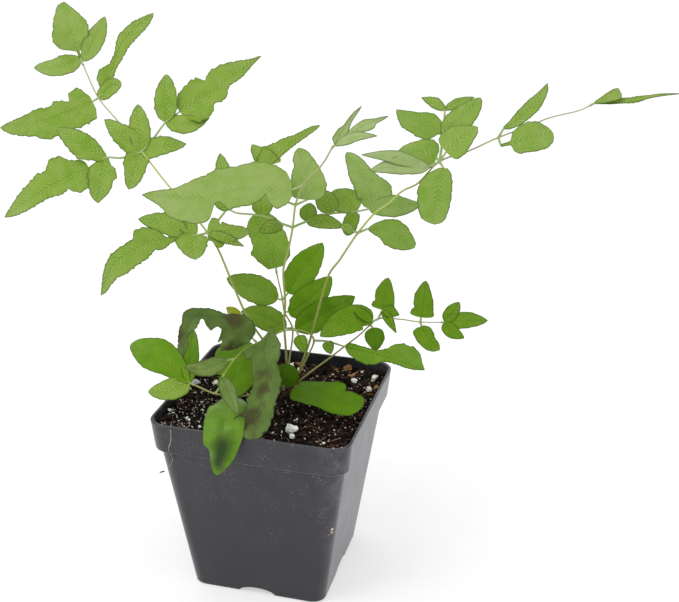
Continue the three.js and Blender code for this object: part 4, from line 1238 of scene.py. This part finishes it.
# %% Grid for a leaflet
ROWS = 72
COLUMNS = 12
CROWDING = 0.4  # how far the rows are drawn towards both ends
bpy.ops.object.select_all(action="DESELECT")
bpy.ops.mesh.primitive_grid_add(x_subdivisions=ROWS, y_subdivisions=COLUMNS, size=2)
grid = bpy.context.object
grid_mesh = grid.data
grid_mesh.uv_layers[0].name = "leaf_mm"
flat = np.array([vertex.co for vertex in grid_mesh.vertices])
EVEN = (flat[:, 0] + 1) / 2
ALONG = (1 - CROWDING) * EVEN + CROWDING * (0.5 - 0.5 * np.cos(np.pi * EVEN))
ACROSS = -flat[:, 1]
TOOTH_STEP = np.round(EVEN * ROWS) % 3
CORNERS = np.array([loop.vertex_index for loop in grid_mesh.loops])
bpy.data.objects.remove(grid)
print("grid for one leaflet", len(ALONG), "vertices")

# %% [markdown]
# The outline's points have to be joined by a smooth line. Straight pieces would show as corners, and an
# ordinary smooth curve would swing past its points and make lobes of its own. This one is level wherever the
# points turn, so its ups and downs are exactly theirs.

# %% Width of an outline
TIP_STEEPNESS = 1.6


def outline_width(pairs, share):
    """The half width at each share of the length, as a share of the leaflet's half width."""
    x, y = np.array(pairs, float).T / 100
    slope = np.diff(y) / np.diff(x)
    bend = [slope[0]]
    for one, two in zip(slope, slope[1:]):
        bend.append(0.0 if one * two <= 0 else 2 * one * two / (one + two))
    bend = np.array(bend + [slope[-1] * TIP_STEEPNESS])
    i = np.clip(np.searchsorted(x, share, side="right") - 1, 0, len(x) - 2)
    wide = x[i + 1] - x[i]
    u = (share - x[i]) / wide
    curve = (1 + 2 * u) * (1 - u) ** 2 * y[i] + u * (1 - u) ** 2 * wide * bend[i]
    return np.maximum(curve + u**2 * (3 - 2 * u) * y[i + 1] + u**2 * (u - 1) * wide * bend[i + 1], 0.0)


# %% [markdown]
# ## Laying a leaflet
# On the plant, a leaflet's midrib leaves the stalk, arches or droops, and ends at the tip. It could be posed
# with bones. A smooth line through a few places is simpler, and with the way that the frond faces it also
# says which way is sideways and which is up at every point of the blade.

# %% Midrib
ARCH = 0.07  # how far a leaflet with no bends of its own arches, as a share of its length
MIDRIB_POINTS = 160


def lay_midrib(base, facing, one):
    """Points along a midrib in mm, the ways to the side and up at each of them, and the midrib's length."""
    face = np.array(facing, float) / np.linalg.norm(facing)
    base, tip = np.array(base, float), np.array(one["tip"], float)
    bends = [np.array(point, float) for point in one["bends"]]
    span = tip - base
    if not bends:
        heading = span / np.linalg.norm(span)
        rise = face - face.dot(heading) * heading
        bends = [base + span / 2 + rise / np.linalg.norm(rise) * ARCH * np.linalg.norm(span)]
    line, length = smooth_line([base, *bends, tip], MIDRIB_POINTS)
    tangents = np.gradient(line, axis=0)
    tangents /= np.linalg.norm(tangents, axis=1)[:, None]
    ups = face - (tangents @ face)[:, None] * tangents
    ups /= np.linalg.norm(ups, axis=1)[:, None]
    return line, np.cross(tangents, ups), ups, length


# %% [markdown]
# The margin of a real leaflet is finely toothed and a little uneven. Teeth could be in every outline, but
# then each would need hundreds of points. So the outline gives the broad shape, two waves make it uneven,
# and every third row steps back after two that stand out more and more, which makes saw teeth.

# %% Margin
LEAST_HALF = 0.16  # mm
TOOTH_DEPTH = 0.15  # mm, for each row
TOOTH_FROM = 1.5  # mm: a blade narrower than this on each side has no teeth
BROAD_HEIGHT, BROAD_PITCH = 0.035, 1.21  # the waves' heights as shares of the half width, radians to a mm
SHORT_HEIGHT, SHORT_PITCH = 0.02, 2.2


def margin_of(one, look, run, phase):
    """The half width of the blade beside each grid point, and how far across it the point lies, in mm."""
    left, right = OUTLINES[one["outline"]]
    shares = np.where(ACROSS < 0, outline_width(left, ALONG), outline_width(right, ALONG))
    half = np.maximum(shares * one["width"] / 2, LEAST_HALF)
    side_phase = np.where(ACROSS < 0, phase[4], phase[5])
    broad = BROAD_HEIGHT * np.sin(run * BROAD_PITCH + side_phase)
    waves = broad + SHORT_HEIGHT * np.sin(run * SHORT_PITCH + 2 * side_phase)
    half = half * (1 + look["teeth"] * waves)
    teeth = TOOTH_STEP * TOOTH_DEPTH * look["teeth"] * (half > TOOTH_FROM)
    return half, ACROSS * half + np.sign(ACROSS) * (np.abs(ACROSS) > 0.99) * teeth


# %% [markdown]
# A blade is never flat: its halves rise from the midrib in a shallow V, curl over towards the margin, and
# ripple between the veins. A cloth simulation could crease it, but that is slow, and hard to steer. A short
# wave and a long one ripple it instead, less near the midrib, which is stiff, and more towards the margin.

# %% Fold, curl and ripple
FOLD = 0.16  # how steeply a leaflet's halves rise from its midrib, as in the CAD
LEFT_WAVE, RIGHT_WAVE, SLOW_WAVE = 1.9, 2.2, 5.5  # mm to a radian
WAVE_HEIGHT, SLOW_HEIGHT = 0.32, 0.75  # mm at the margin
GROOVE, GROOVE_REACH = 0.12, 0.5  # mm


def lift_of(one, look, run, on_side, phase):
    """How far each grid point stands above the midrib's line, and its reach to the margin as a share."""
    widest = one["width"] / 2
    fold = FOLD * look["fold"] * on_side - look["curl"] * on_side**2 / widest
    wave = np.where(ACROSS < 0, np.sin(run / LEFT_WAVE + phase[0]), np.sin(run / RIGHT_WAVE + phase[1]))
    slow = np.sin(run / SLOW_WAVE + phase[2] + 0.8 * np.sign(ACROSS))
    reach = np.clip(on_side / widest, 0, 1.2)
    lift = fold + look["ripple"] * (WAVE_HEIGHT * wave * reach**2.5 + SLOW_HEIGHT * slow * reach**2)
    return lift - GROOVE * np.exp(-((on_side / GROOVE_REACH) ** 2)), reach


# %% [markdown]
# Now the grid's points are moved to their places, and the mesh stores what the leaf finish reads: the place
# in millimetres as its UV map, and the distance to the margin, the tone and the bloom with its painted sheen
# as an attribute. These could be baked into a picture for each leaflet, but numbers at the points need no
# picture at all. Every leaflet has a tone a little of its own. Most have more bloom and painted sheen near
# the tip, and the limp one has painted shade in its hollow.

# %% Blade and midrib
RIB_POINTS = 18
RIB_END = 0.93  # the share of the length at which the midrib has faded into the blade
RIB_BELOW = 0.22  # mm
RIB_THIN, RIB_TAPER = 0.12, 0.22  # mm, its radius at the end, and how much thicker it begins
TONE_SPREAD = 0.09


def tone_shade_and_sheen(look, reach, chance):
    """The tone, lowered by painted shade in a hollow, and the bloom with its painted sheen, at each grid
    point.
    """
    tone = look["tone"] + chance.uniform(-TONE_SPREAD, TONE_SPREAD)
    # The tip's bloom and painted sheen grow over the last 45 hundredths; the hollow's painted shade lies in
    # the last half, by the midrib.
    bloom = look["bloom"] + look["tip_bloom"] * np.clip((ALONG - 0.55) / 0.45, 0, 1)
    hollow = np.clip((ALONG - 0.5) / 0.15, 0, 1) * np.clip((0.97 - ALONG) / 0.1, 0, 1)
    hollow = look["hollow"] * hollow * np.clip(1.2 - 1.7 * reach, 0, 1)
    return tone - hollow, np.clip(bloom, 0, 1)


def lay_leaflet(base, facing, one, look, chance):
    """A leaflet's blade as an object with no thickness yet, and its midrib as a line for a tube."""
    line, sides, ups, length = lay_midrib(base, facing, one)
    phase = chance.uniform(0, FULL_TURN, 6)
    run = ALONG * length
    half, lateral = margin_of(one, look, run, phase)
    lift, reach = lift_of(one, look, run, np.abs(lateral), phase)
    steps = np.arange(MIDRIB_POINTS)
    tracks = ((line, 1), (sides, lateral[:, None]), (ups, lift[:, None]))
    points = 0
    for track, amount in tracks:
        sampled = [np.interp(ALONG * (MIDRIB_POINTS - 1), steps, track[:, axis]) for axis in range(3)]
        points = points + np.stack(sampled, 1) * amount

    made = grid_mesh.copy()
    made.vertices.foreach_set("co", (points * MM).ravel())
    made.uv_layers["leaf_mm"].data.foreach_set("uv", np.stack([run, lateral], axis=1)[CORNERS].ravel())
    tone, bloom = tone_shade_and_sheen(look, reach, chance)
    stored = np.stack([half - np.abs(lateral), tone, bloom, np.ones_like(tone)], axis=1)
    made.color_attributes.new("leaf_place", "FLOAT_COLOR", "POINT").data.foreach_set("color", stored.ravel())
    blade = bpy.data.objects.new("blade", made)
    bpy.context.collection.objects.link(blade)

    picks = np.linspace(0, RIB_END * (MIDRIB_POINTS - 1), RIB_POINTS).astype(int)
    radii = RIB_THIN + RIB_TAPER * (1 - np.linspace(0, 1, RIB_POINTS)) ** 0.8
    return blade, (line[picks] - ups[picks] * (radii[:, None] + RIB_BELOW), radii)


# %% [markdown]
# A spray is a side branch: a short stalk with its leaflets. Its leaflets could stay apart, but nobody lifts a
# leaflet off its stalk, so each spray is one piece. The blades are joined and get their thickness together
# with Solidify, whose underside has a material of its own, and then the tubes of the stalk and the midribs
# join them.

# %% Sprays as one piece
LEAF_THICKNESS = 0.28
LEAF_SMOOTH_TO = 60  # degrees


def make_foliage(stalk_line, leaflets, points, facing, look, chance):
    """A spray as one object: its stalk, its leaflets and their midribs. The points are in mm."""
    laid = []
    for one in leaflets:
        laid.append(lay_leaflet(points[one["at"]], facing, one, one["look"] or look, chance))
    only(*[blade for blade, rib in laid])
    bpy.ops.object.join()
    foliage = bpy.context.object
    foliage.data.materials.clear()
    tubes = make_tubes([stalk_line] + [rib for blade, rib in laid])
    for piece in (foliage, tubes):
        for kind in (look["top"], leaf_under, stalk):
            piece.data.materials.append(kind)
    for face in tubes.data.polygons:
        face.material_index = 2
    only(foliage)
    body = foliage.modifiers.new("leaf_body", "SOLIDIFY")
    body.thickness = LEAF_THICKNESS * MM
    body.offset = -1
    body.material_offset = 1
    body.material_offset_rim = 0
    bpy.ops.object.modifier_apply(modifier=body.name)
    bpy.ops.object.shade_smooth_by_angle(angle=math.radians(LEAF_SMOOTH_TO))
    only(foliage, tubes)
    bpy.ops.object.join()
    return bpy.context.object


# %% [markdown]
# ## Looks of the fronds
# The fronds don't look alike. The tall left one is a light yellow-green with pale tips, the leaflets that
# hang forward have a pale bloom with painted sheen, the young short frond in the middle is a fresh deep
# green, and parts of the old frond have wilted. Each leaflet could be coloured by hand. A look does it for a
# whole frond or spray, and the same look can be given to any leaflet.

# %% Looks
EVEN_BLADE = {"fold": 1.0, "curl": 0.05, "ripple": 1.0, "teeth": 0.5, "hollow": 0.0}


def look(tone, bloom=0.0, tip_bloom=0.0, top=leaf_top, slot="leaf", **shape):
    """How light the green is, its bloom and painted sheen all over and at the tips, its finish, and what its
    blade does, with any painted shade in a hollow.
    """
    colour = {"tone": tone, "bloom": bloom, "tip_bloom": tip_bloom, "top": top, "slot": slot}
    return {**colour, **EVEN_BLADE, **shape}


LEFT_GREEN = look(0.86, 0.04, 0.2, teeth=1.0)
MIDDLE_GREEN = look(0.82, 0.0, 0.02, ripple=0.7, teeth=0.6)
RIGHT_GREEN = look(0.84, 0.12, 0.15, ripple=0.8, teeth=0.6)
SHORT_GREEN = look(0.7, 0.0, 0.05, curl=0.03, ripple=0.7, teeth=0.6)
SIDE_GREEN = look(0.63, 0.0, 0.05, curl=0.03, ripple=0.6)
OLD_GREEN = look(0.6, 0.05, 0.1, teeth=0.8)
FRONT_GREEN = look(0.48, 0.0, 0.1, curl=0.08, teeth=0.3)
# The leaflets at the crown are painted in shade, as the deepest green.
CROWN_GREEN = look(0.26, fold=0.8, curl=0.1, teeth=0.3)
SHADED = look(0.3)
DEEP = look(0.55, 0.0, 0.05, curl=0.03, ripple=0.7)
FRESH = look(0.82, curl=0.03, ripple=0.7, teeth=0.6)
BRIGHT = look(0.94, 0.15, 0.15, teeth=0.6)
HAZY = look(0.86, 0.35, 0.1, ripple=0.7)
PALE = look(0.9, 0.75, 0.2, ripple=0.7, teeth=0.4)
YELLOWING = look(0.7, top=yellow_top)
# The limp leaflet has painted shade in the hollow near its tip.
FOLDED = look(0.42, 0.06, -0.06, fold=1.9, curl=0.45, ripple=1.4, teeth=0.2, hollow=0.5, top=limp_top)
SPENT = {"top": wilted_top, "slot": "wilted_leaf"}
FADED = look(0.66, 0.22, 0.1, fold=1.4, curl=0.1, ripple=1.8, **SPENT)
WILTED = look(0.45, 0.08, 0.1, fold=1.6, curl=0.1, ripple=2.4, teeth=1.0, **SPENT)
print("the limp leaflet's look", {key: FOLDED[key] for key in ("tone", "fold", "curl", "ripple")})

# %% [markdown]
# ## The plant's description
# This repeats the CAD's list, because a script can't read the part's source. The plant could be grown by a
# formula, but then it would be any fern and not this one. Every frond has its look, the way that its leaflets
# face, its stem's radius at the crown and at the end, the points that its stem runs through, and its sprays.
# A spray grows from one point of the stem and has a stalk and leaflets. A leaflet has its outline, the point
# of the stalk that it grows from, its tip, its width, and the places that it bends at.

# %% Words for the description
def leaf(outline, at, tip, width, bends=(), look=None):
    return {"outline": outline, "at": at, "tip": tip, "width": width, "bends": bends, "look": look}


def spray(name, joint, stalk, leaflets, look=None):
    return {"name": name, "joint": joint, "stalk": stalk, "leaflets": leaflets, "look": look}


def leaflet(name, joint, stalk_end, outline, tip, width, bends=(), look=None):
    """A leaflet on a stalk of its own, as a spray of one."""
    return spray(name, joint, [stalk_end], [leaf(outline, 1, tip, width, bends)], look)


def frond(name, look, facing, radii, stem, sprays):
    print(name, len(stem), "stem points", sum(len(one["leaflets"]) for one in sprays), "leaflets")
    return {"name": name, "look": look, "facing": facing, "radii": radii, "stem": stem, "sprays": sprays}


# %% [markdown]
# The left frond is the tallest. It leans away from the others, and four sprays stand on it in two pairs.
# Its largest leaflets are lobed, each in its own way, so they have outlines of their own.

# %% Left frond
left_frond = frond("left_frond", LEFT_GREEN, (22, -74, 63), (1.0, 0.5), [
    (-1, 15, 107), (-9, 17, 124), (-22, 17, 143), (-31, 19, 161), (-41, 23, 180), (-47, 24, 188),
    (-54, 26, 195), (-72, 32, 210), (-92, 42, 226), (-113, 58, 238), (-131, 71, 248), (-148, 88, 263),
], [
    leaflet("stem_leaflet", 2, (-25, 14, 143), "oval", (-34, 16, 148), 6, look=YELLOWING),
    spray("low_outer_spray", 5, [(-53, 21, 187), (-58, 20, 187), (-62, 18, 186)], [
        leaf("low_lobed", 3, (-93, -19, 162), 21, [(-76, 7, 184), (-89, -8, 176)]),
        leaf("oval", 2, (-86, 19, 194), 12, [(-69, 20, 192)]),
        leaf("oval", 1, (-66, 28, 195), 9),
        leaf("flared", 1, (-49, 10, 177), 15, [(-52, 15, 183)]),
    ]),
    spray("low_inner_spray", 5, [(-43, 33, 194), (-40, 40, 199), (-34, 52, 209), (-28, 63, 216)], [
        leaf("outer_lobed", 0, (-24, 32, 188), 15),
        leaf("lance", 0, (-26, 25, 182), 6),
        leaf("oval", 2, (-53, 63, 223), 10),
        leaf("triangle", 4, (-37, 73, 227), 13),
        leaf("swept", 4, (-2, 94, 236), 13),
    ]),
    spray("high_outer_spray", 8, [(-102, 37, 223), (-111, 34, 223), (-119, 29, 218)], [
        leaf("round_base", 0, (-116, 46, 242), 12),
        leaf("flared", 0, (-96, 30, 207), 12),
        leaf("belly", 2, (-140, 35, 238), 14),
        leaf("waisted", 2, (-110, 19, 201), 16, [(-110, 27, 215)]),
        leaf("outer_lobed", 3, (-158, 0, 194), 22),
    ]),
    spray("high_inner_spray", 8, [(-87, 48, 233), (-82, 55, 241), (-76, 61, 246)], [
        leaf("oval", 0, (-99, 55, 250), 12),
        leaf("round_base", 0, (-69, 52, 230), 11),
        leaf("oval", 2, (-87, 70, 265), 13),
        leaf("lance", 2, (-60, 64, 242), 12, [(-71, 56, 240)]),
        leaf("inner_lobed", 3, (-38, 95, 274), 24, [(-60, 74, 256)]),
    ]),
    leaflet("top_outer_leaflet", 10, (-134, 69, 246), "top_outer", (-181, 43, 233), 22, [(-155, 54, 237)]),
    spray("top_inner_leaflet", 10, [(-128, 74, 252)], [
        leaf("top_inner", 1, (-112, 113, 292), 10, [(-127, 82, 260), (-125, 96, 276)]),
        leaf("blunt", 0, (-120, 79, 257), 10),
    ]),
    spray("end_leaflets", 11, [(-151, 91, 266)], [
        leaf("end_broad", 1, (-167, 106, 297), 21),
        leaf("oval", 1, (-142, 109, 289), 12, [(-148, 92, 268), (-144, 97, 276)]),
        leaf("oval", 1, (-177, 81, 261), 13, [(-161, 83, 262)]),
    ], BRIGHT),
])

# %% [markdown]
# The middle frond rises straight and then leans towards the camera. Its long leaflet hangs across the
# picture, and the leaflets at its end are the nearest of all.

# %% Middle frond
middle_frond = frond("middle_frond", MIDDLE_GREEN, (15, -56, 81), (1.0, 0.5), [
    (3, 11, 107), (2, 12, 127), (1, 12, 145), (2, 11, 157), (2, 8, 177), (6, 4, 190),
    (10, -1, 205), (14, -9, 220), (21, -19, 234), (36, -39, 251), (45, -54, 264),
], [
    spray("outer_spray", 6, [(4, 0, 206), (-7, 1, 209), (-21, -1, 210), (-25, 0, 211)], [
        leaf("oval", 1, (-6, -8, 203), 9),
        leaf("oval", 2, (-11, 13, 218), 11),
        leaf("oval", 4, (-34, 4, 216), 9),
    ]),
    spray("inner_spray", 6, [(16, 5, 207), (27, 12, 210), (39, 16, 211), (46, 20, 212)], [
        leaf("oval", 1, (15, 15, 214), 9),
        leaf("oval", 1, (36, 5, 206), 9),
        leaf("oval", 2, (19, 23, 219), 12),
        leaf("oval", 3, (24, 28, 218), 16),
        leaf("blunt", 3, (38, 3, 202), 8),
        leaf("wedge", 4, (26, 48, 234), 20, [(47, 24, 216), (39, 34, 226)], HAZY),
        leaf("lance", 4, (72, 30, 214), 14, [(60, 22, 214)], HAZY),
    ]),
    leaflet("long_leaflet", 8, (16, -22, 232), "long_lobed", (-54, -45, 230), 29,
            [(-8, -30, 232), (-26, -38, 229)], HAZY),
    leaflet("upright_leaflet", 7, (19, -5, 222), "upright", (7, 20, 242), 18, [(17, 5, 229)], HAZY),
    leaflet("short_leaflet", 7, (9, -11, 222), "oval", (-3, -3, 237), 13),
    spray("end_leaflets", 10, [(47, -56, 266)], [
        leaf("tailed", 1, (52, -28, 278), 8),
        leaf("forked", 1, (70, -52, 280), 11),
        leaf("lance", 1, (68, -65, 274), 7),
    ], PALE),
])

# %% [markdown]
# The right frond is the longest, on a stem that is thin for its length. One knot of leaflets stands halfway
# along it, and its last leaflets are narrow and point away to the right.

# %% Right frond
right_frond = frond("right_frond", RIGHT_GREEN, (0, -60, 80), (1.0, 0.4), [
    (6, 18, 107), (13, 20, 130), (20, 17, 156), (27, 11, 177), (33, 8, 186), (44, 3, 204),
    (53, 2, 216), (60, 1, 222), (67, 2, 229), (74, 3, 233), (84, 8, 244), (97, 18, 248),
    (110, 30, 253), (125, 40, 258), (133, 46, 261), (148, 56, 264), (153, 60, 266),
], [
    leaflet("low_leaflet", 5, (49, 6, 206), "spoon", (75, -2, 201), 17, [(60, 4, 207), (69, 1, 203)]),
    leaflet("small_leaflet", 5, (42, 0, 206), "oval", (36, -3, 209), 7),
    spray("inner_leaflets", 10, [(80, 1, 243)], [
        leaf("lance", 1, (46, -1, 247), 8),
        leaf("oval", 1, (52, -7, 241), 11),
    ], PALE),
    leaflet("left_leaflet", 10, (82, 11, 245), "round_base", (62, 13, 247), 16),
    leaflet("right_leaflet", 10, (87, 9, 249), "round_base", (101, 17, 261), 16),
    leaflet("hanging_leaflet", 10, (87, 4, 242), "drooping", (88, -22, 221), 17,
            [(87, -7, 236), (88, -17, 227)]),
    spray("upper_spray", 10, [(83, 22, 254), (81, 35, 264)], [
        leaf("side_swept", 1, (56, 33, 263), 15),
        leaf("oval", 1, (98, 43, 270), 14, [(92, 31, 263)]),
        leaf("lance", 2, (67, 43, 268), 6),
        leaf("lance", 2, (94, 48, 269), 6),
    ]),
    leaflet("outer_high_leaflet", 12, (112, 34, 257), "lance", (130, 61, 276), 8,
            [(116, 35, 259), (122, 40, 264), (129, 54, 273)]),
    leaflet("outer_low_leaflet", 12, (112, 26, 250), "disc", (137, 33, 257), 17,
            [(118, 26, 252), (126, 27, 254)]),
    spray("end_leaflets", 16, [(155, 62, 267)], [
        leaf("half_blade", 1, (166, 70, 274), 8, [(161, 64, 271)]),
        leaf("lance", 1, (198, 72, 273), 3.2, [(164, 62, 268), (174, 62, 270), (184, 66, 272)]),
    ]),
])

# %% [markdown]
# The short frond stands upright at the back of the pot. It is young, so its leaflets are whole and fresh.

# %% Short frond
short_frond = frond("short_frond", SHORT_GREEN, (15, -90, 38), (0.8, 0.5), [
    (1, 19, 107), (0, 25, 116), (0, 31, 133), (-6, 35, 141), (-8, 38, 147), (-14, 46, 160),
], [
    leaflet("low_right_leaflet", 2, (3, 28, 134), "oval", (33, 45, 151), 16, look=DEEP),
    leaflet("low_left_leaflet", 2, (-3, 28, 134), "oval", (-29, 26, 142), 14, [(-15, 26, 140)]),
    leaflet("middle_right_leaflet", 3, (-3, 33, 142), "oval", (18, 49, 160), 16,
            [(0, 34, 143), (10, 39, 151)], DEEP),
    leaflet("high_right_leaflet", 4, (-5, 39, 151), "oval", (9, 62, 175), 17, look=DEEP),
    leaflet("high_left_leaflet", 4, (-11, 38, 147), "oval", (-42, 39, 156), 16, [(-23, 37, 152)]),
    leaflet("end_leaflet", 5, (-15, 48, 162), "heart", (-34, 65, 187), 21, [(-20, 54, 174)], FRESH),
])

# %% [markdown]
# The side frond reaches out to the right, low over the pot's rim, and its leaflets are small and far apart.

# %% Side frond
side_frond = frond("side_frond", SIDE_GREEN, (20, -70, 68), (0.8, 0.35), [
    (7, 12, 107), (13, 13, 113), (26, 18, 124), (34, 21, 131), (41, 24, 137),
    (46, 28, 142), (50, 31, 145), (61, 36, 144), (72, 40, 142), (83, 45, 141),
], [
    leaflet("under_leaflet", 5, (48, 27, 141), "oval", (52, 19, 131), 11, look=SHADED),
    spray("back_leaflets", 6, [(47, 28, 144)], [
        leaf("oval", 1, (21, 14, 138), 16, [(42, 28, 146), (33, 21, 145)]),
        leaf("lance", 1, (33, 30, 152), 6),
    ]),
    spray("eared_leaflets", 6, [(51, 35, 149)], [
        leaf("eared", 1, (51, 49, 163), 12),
        leaf("lance", 1, (61, 35, 147), 7),
        leaf("lance", 1, (61, 28, 139), 5),
    ]),
    leaflet("high_leaflet", 8, (72, 42, 144), "eared", (71, 58, 160), 12),
    leaflet("low_leaflet", 8, (73, 39, 140), "broad_side", (85, 32, 130), 12, [(77, 35, 136)]),
    spray("end_leaflets", 9, [(85, 46, 141)], [
        leaf("oval", 1, (91, 56, 150), 8),
        leaf("oval", 1, (108, 53, 142), 10),
        leaf("oval", 1, (97, 41, 135), 8, [(89, 42, 138)]),
    ]),
])

# %% [markdown]
# The old frond bends over to the front. Four of its leaflets have wilted: one is arched over, one hangs down
# like wet cloth, and two at its end are curled.

# %% Old frond
old_frond = frond("old_frond", OLD_GREEN, (12, -75, 65), (0.8, 0.4), [
    (5, 15, 107), (9, 17, 114), (13, 16, 123), (17, 16, 134), (15, 12, 140), (10, 5, 144),
    (5, -2, 146), (0, -11, 145), (-5, -17, 144), (-9, -23, 143), (-12, -33, 141), (-14, -44, 137),
], [
    spray("right_spray", 3, [(24, 17, 134), (35, 17, 132)], [
        leaf("oval", 1, (28, 12, 129), 6),
        leaf("late_lobed", 2, (80, 15, 125), 15),
    ]),
    leaflet("small_leaflet", 5, (12, 3, 142), "oval", (17, -3, 135), 7),
    leaflet("arched_leaflet", 8, (-8, -16, 146), "shrivelled", (-41, -33, 138), 13,
            [(-24, -18, 157), (-38, -23, 157)], WILTED),
    leaflet("hanging_leaflet", 8, (-4, -19, 145), "crumpled", (-4, -55, 110), 18,
            [(3, -28, 144), (6, -36, 129), (3, -46, 117)], WILTED),
    leaflet("curled_leaflet", 10, (-16, -34, 140), "oval", (-36, -44, 138), 9, [(-26, -41, 137)], FADED),
    leaflet("narrow_leaflet", 11, (-14, -46, 136), "lance", (-1, -60, 123), 8, look=FADED),
])

# %% [markdown]
# The front frond lies low over the mix. Its leaflets are broad and thick, and one has gone limp and hangs
# over the rim of the pot.

# %% Front frond
front_frond = frond("front_frond", FRONT_GREEN, (0, -50, 85), (0.9, 0.6), [
    (-1, 10, 107), (-4, -4, 111), (-9, -18, 113), (-17, -27, 116), (-24, -31, 118), (-37, -28, 120),
], [
    leaflet("broad_leaflet", 4, (-23, -28, 120), "blunt", (-22, 0, 136), 25,
            [(-17, -24, 123), (-18, -15, 130)]),
    leaflet("rim_leaflet", 3, (-16, -30, 116), "hanging", (-14, -61, 87), 22,
            [(-13, -43, 117), (-11, -56, 112), (-10, -61, 101)], FOLDED),
    spray("end_leaflets", 5, [(-40, -28, 121)], [
        leaf("oval", 1, (-49, 3, 138), 10),
        leaf("spoon", 1, (-81, -9, 131), 22, [(-55, -22, 128), (-71, -15, 130)]),
        leaf("oval", 1, (-61, -35, 116), 14, [(-47, -34, 119)], FRESH),
    ]),
])

# %% [markdown]
# ## Stems
# A fern's stem is thickest at the crown, tapers to its end, and swells a little where a spray leaves it. A
# tube of one thickness would look like wire, so every point of the stem's line gets a radius of its own.

# %% Stems
FRONDS = [left_frond, middle_frond, right_frond, short_frond, side_frond, old_frond, front_frond]
STEM_RINGS = 12  # for each point that the stem runs through
FOOT_SHARE, END_SHARE = 0.7, 0.75  # of the CAD's radii, which are thicker than a real stem's
SWELLING = 0.22
SWELLING_REACH = 2.2  # mm
for one in FRONDS:
    thick, thin = one["radii"]
    points, length = smooth_line(one["stem"], STEM_RINGS * len(one["stem"]))
    radii = np.linspace(FOOT_SHARE * thick, END_SHARE * thin, len(points))
    for joint in {branch["joint"] for branch in one["sprays"]}:
        near = np.linalg.norm(points - np.array(one["stem"][joint]), axis=1)
        radii = radii * (1 + SWELLING * np.exp(-((near / SWELLING_REACH) ** 2)))
    name = one["name"] + "_stem"
    finish_piece(make_tubes([(points, radii)], sides=3), "fern_" + name, "stem", [stalk], name)
    print(name, round(length), "mm")

# %% [markdown]
# ## Sprays
# Now every spray of the description is made where it belongs, with its own stalk, which tapers too. They
# could all be placed by hand, but the list already says where each one grows.

# %% Sprays
STALK_RINGS = 6  # for each point that the stalk runs through
STALK_THICK, STALK_THIN = 0.72, 0.5
chance = np.random.RandomState(21)
for one in FRONDS:
    for branch in one["sprays"]:
        points = [one["stem"][branch["joint"]]] + branch["stalk"]
        run, length = smooth_line(points, STALK_RINGS * len(points))
        own = branch["look"] or one["look"]
        line = (run, np.linspace(STALK_THICK, STALK_THIN, len(run)))
        foliage = make_foliage(line, branch["leaflets"], points, one["facing"], own, chance)
        name = one["name"] + "_" + branch["name"]
        finish_piece(foliage, "fern_" + name, own["slot"], [own["top"], leaf_under, stalk], name)

# %% [markdown]
# Two low leaflets have no stem between them and the crown: their stalks rise straight from it. They could be
# fronds with no stem, but they are made on their own here, with thicker stalks. They lie in the shade of the
# others, and that shade is painted into them as the deepest green.

# %% Leaflets from the crown
CROWN_STALK_POINTS = 10
CROWN_STALK_THICK = 0.8
LOW_LEAFLET = leaf("low_wide", 1, (53, -17, 114), 21, [(26, -5, 114)])
UPRIGHT_LEAFLET = leaf("blunt", 1, (6, 7, 122), 14)
CROWN_LEAFLETS = [  # name, the way it faces, its stalk and the leaflet
    ("low_leaflet", (10, -45, 90), [(8, 10, 107), (10, 6, 110)], LOW_LEAFLET),
    ("upright_leaflet", (15, -90, 40), [(2, 7, 106), (3, 4, 110)], UPRIGHT_LEAFLET),
]
for name, facing, points, low_one in CROWN_LEAFLETS:
    run, length = smooth_line(points, CROWN_STALK_POINTS)
    line = (run, np.linspace(CROWN_STALK_THICK, STALK_THIN, CROWN_STALK_POINTS))
    foliage = make_foliage(line, [low_one], points, facing, CROWN_GREEN, chance)
    name = "crown_" + name
    finish_piece(foliage, "fern_" + name, "leaf", [leaf_top, leaf_under, stalk], name)
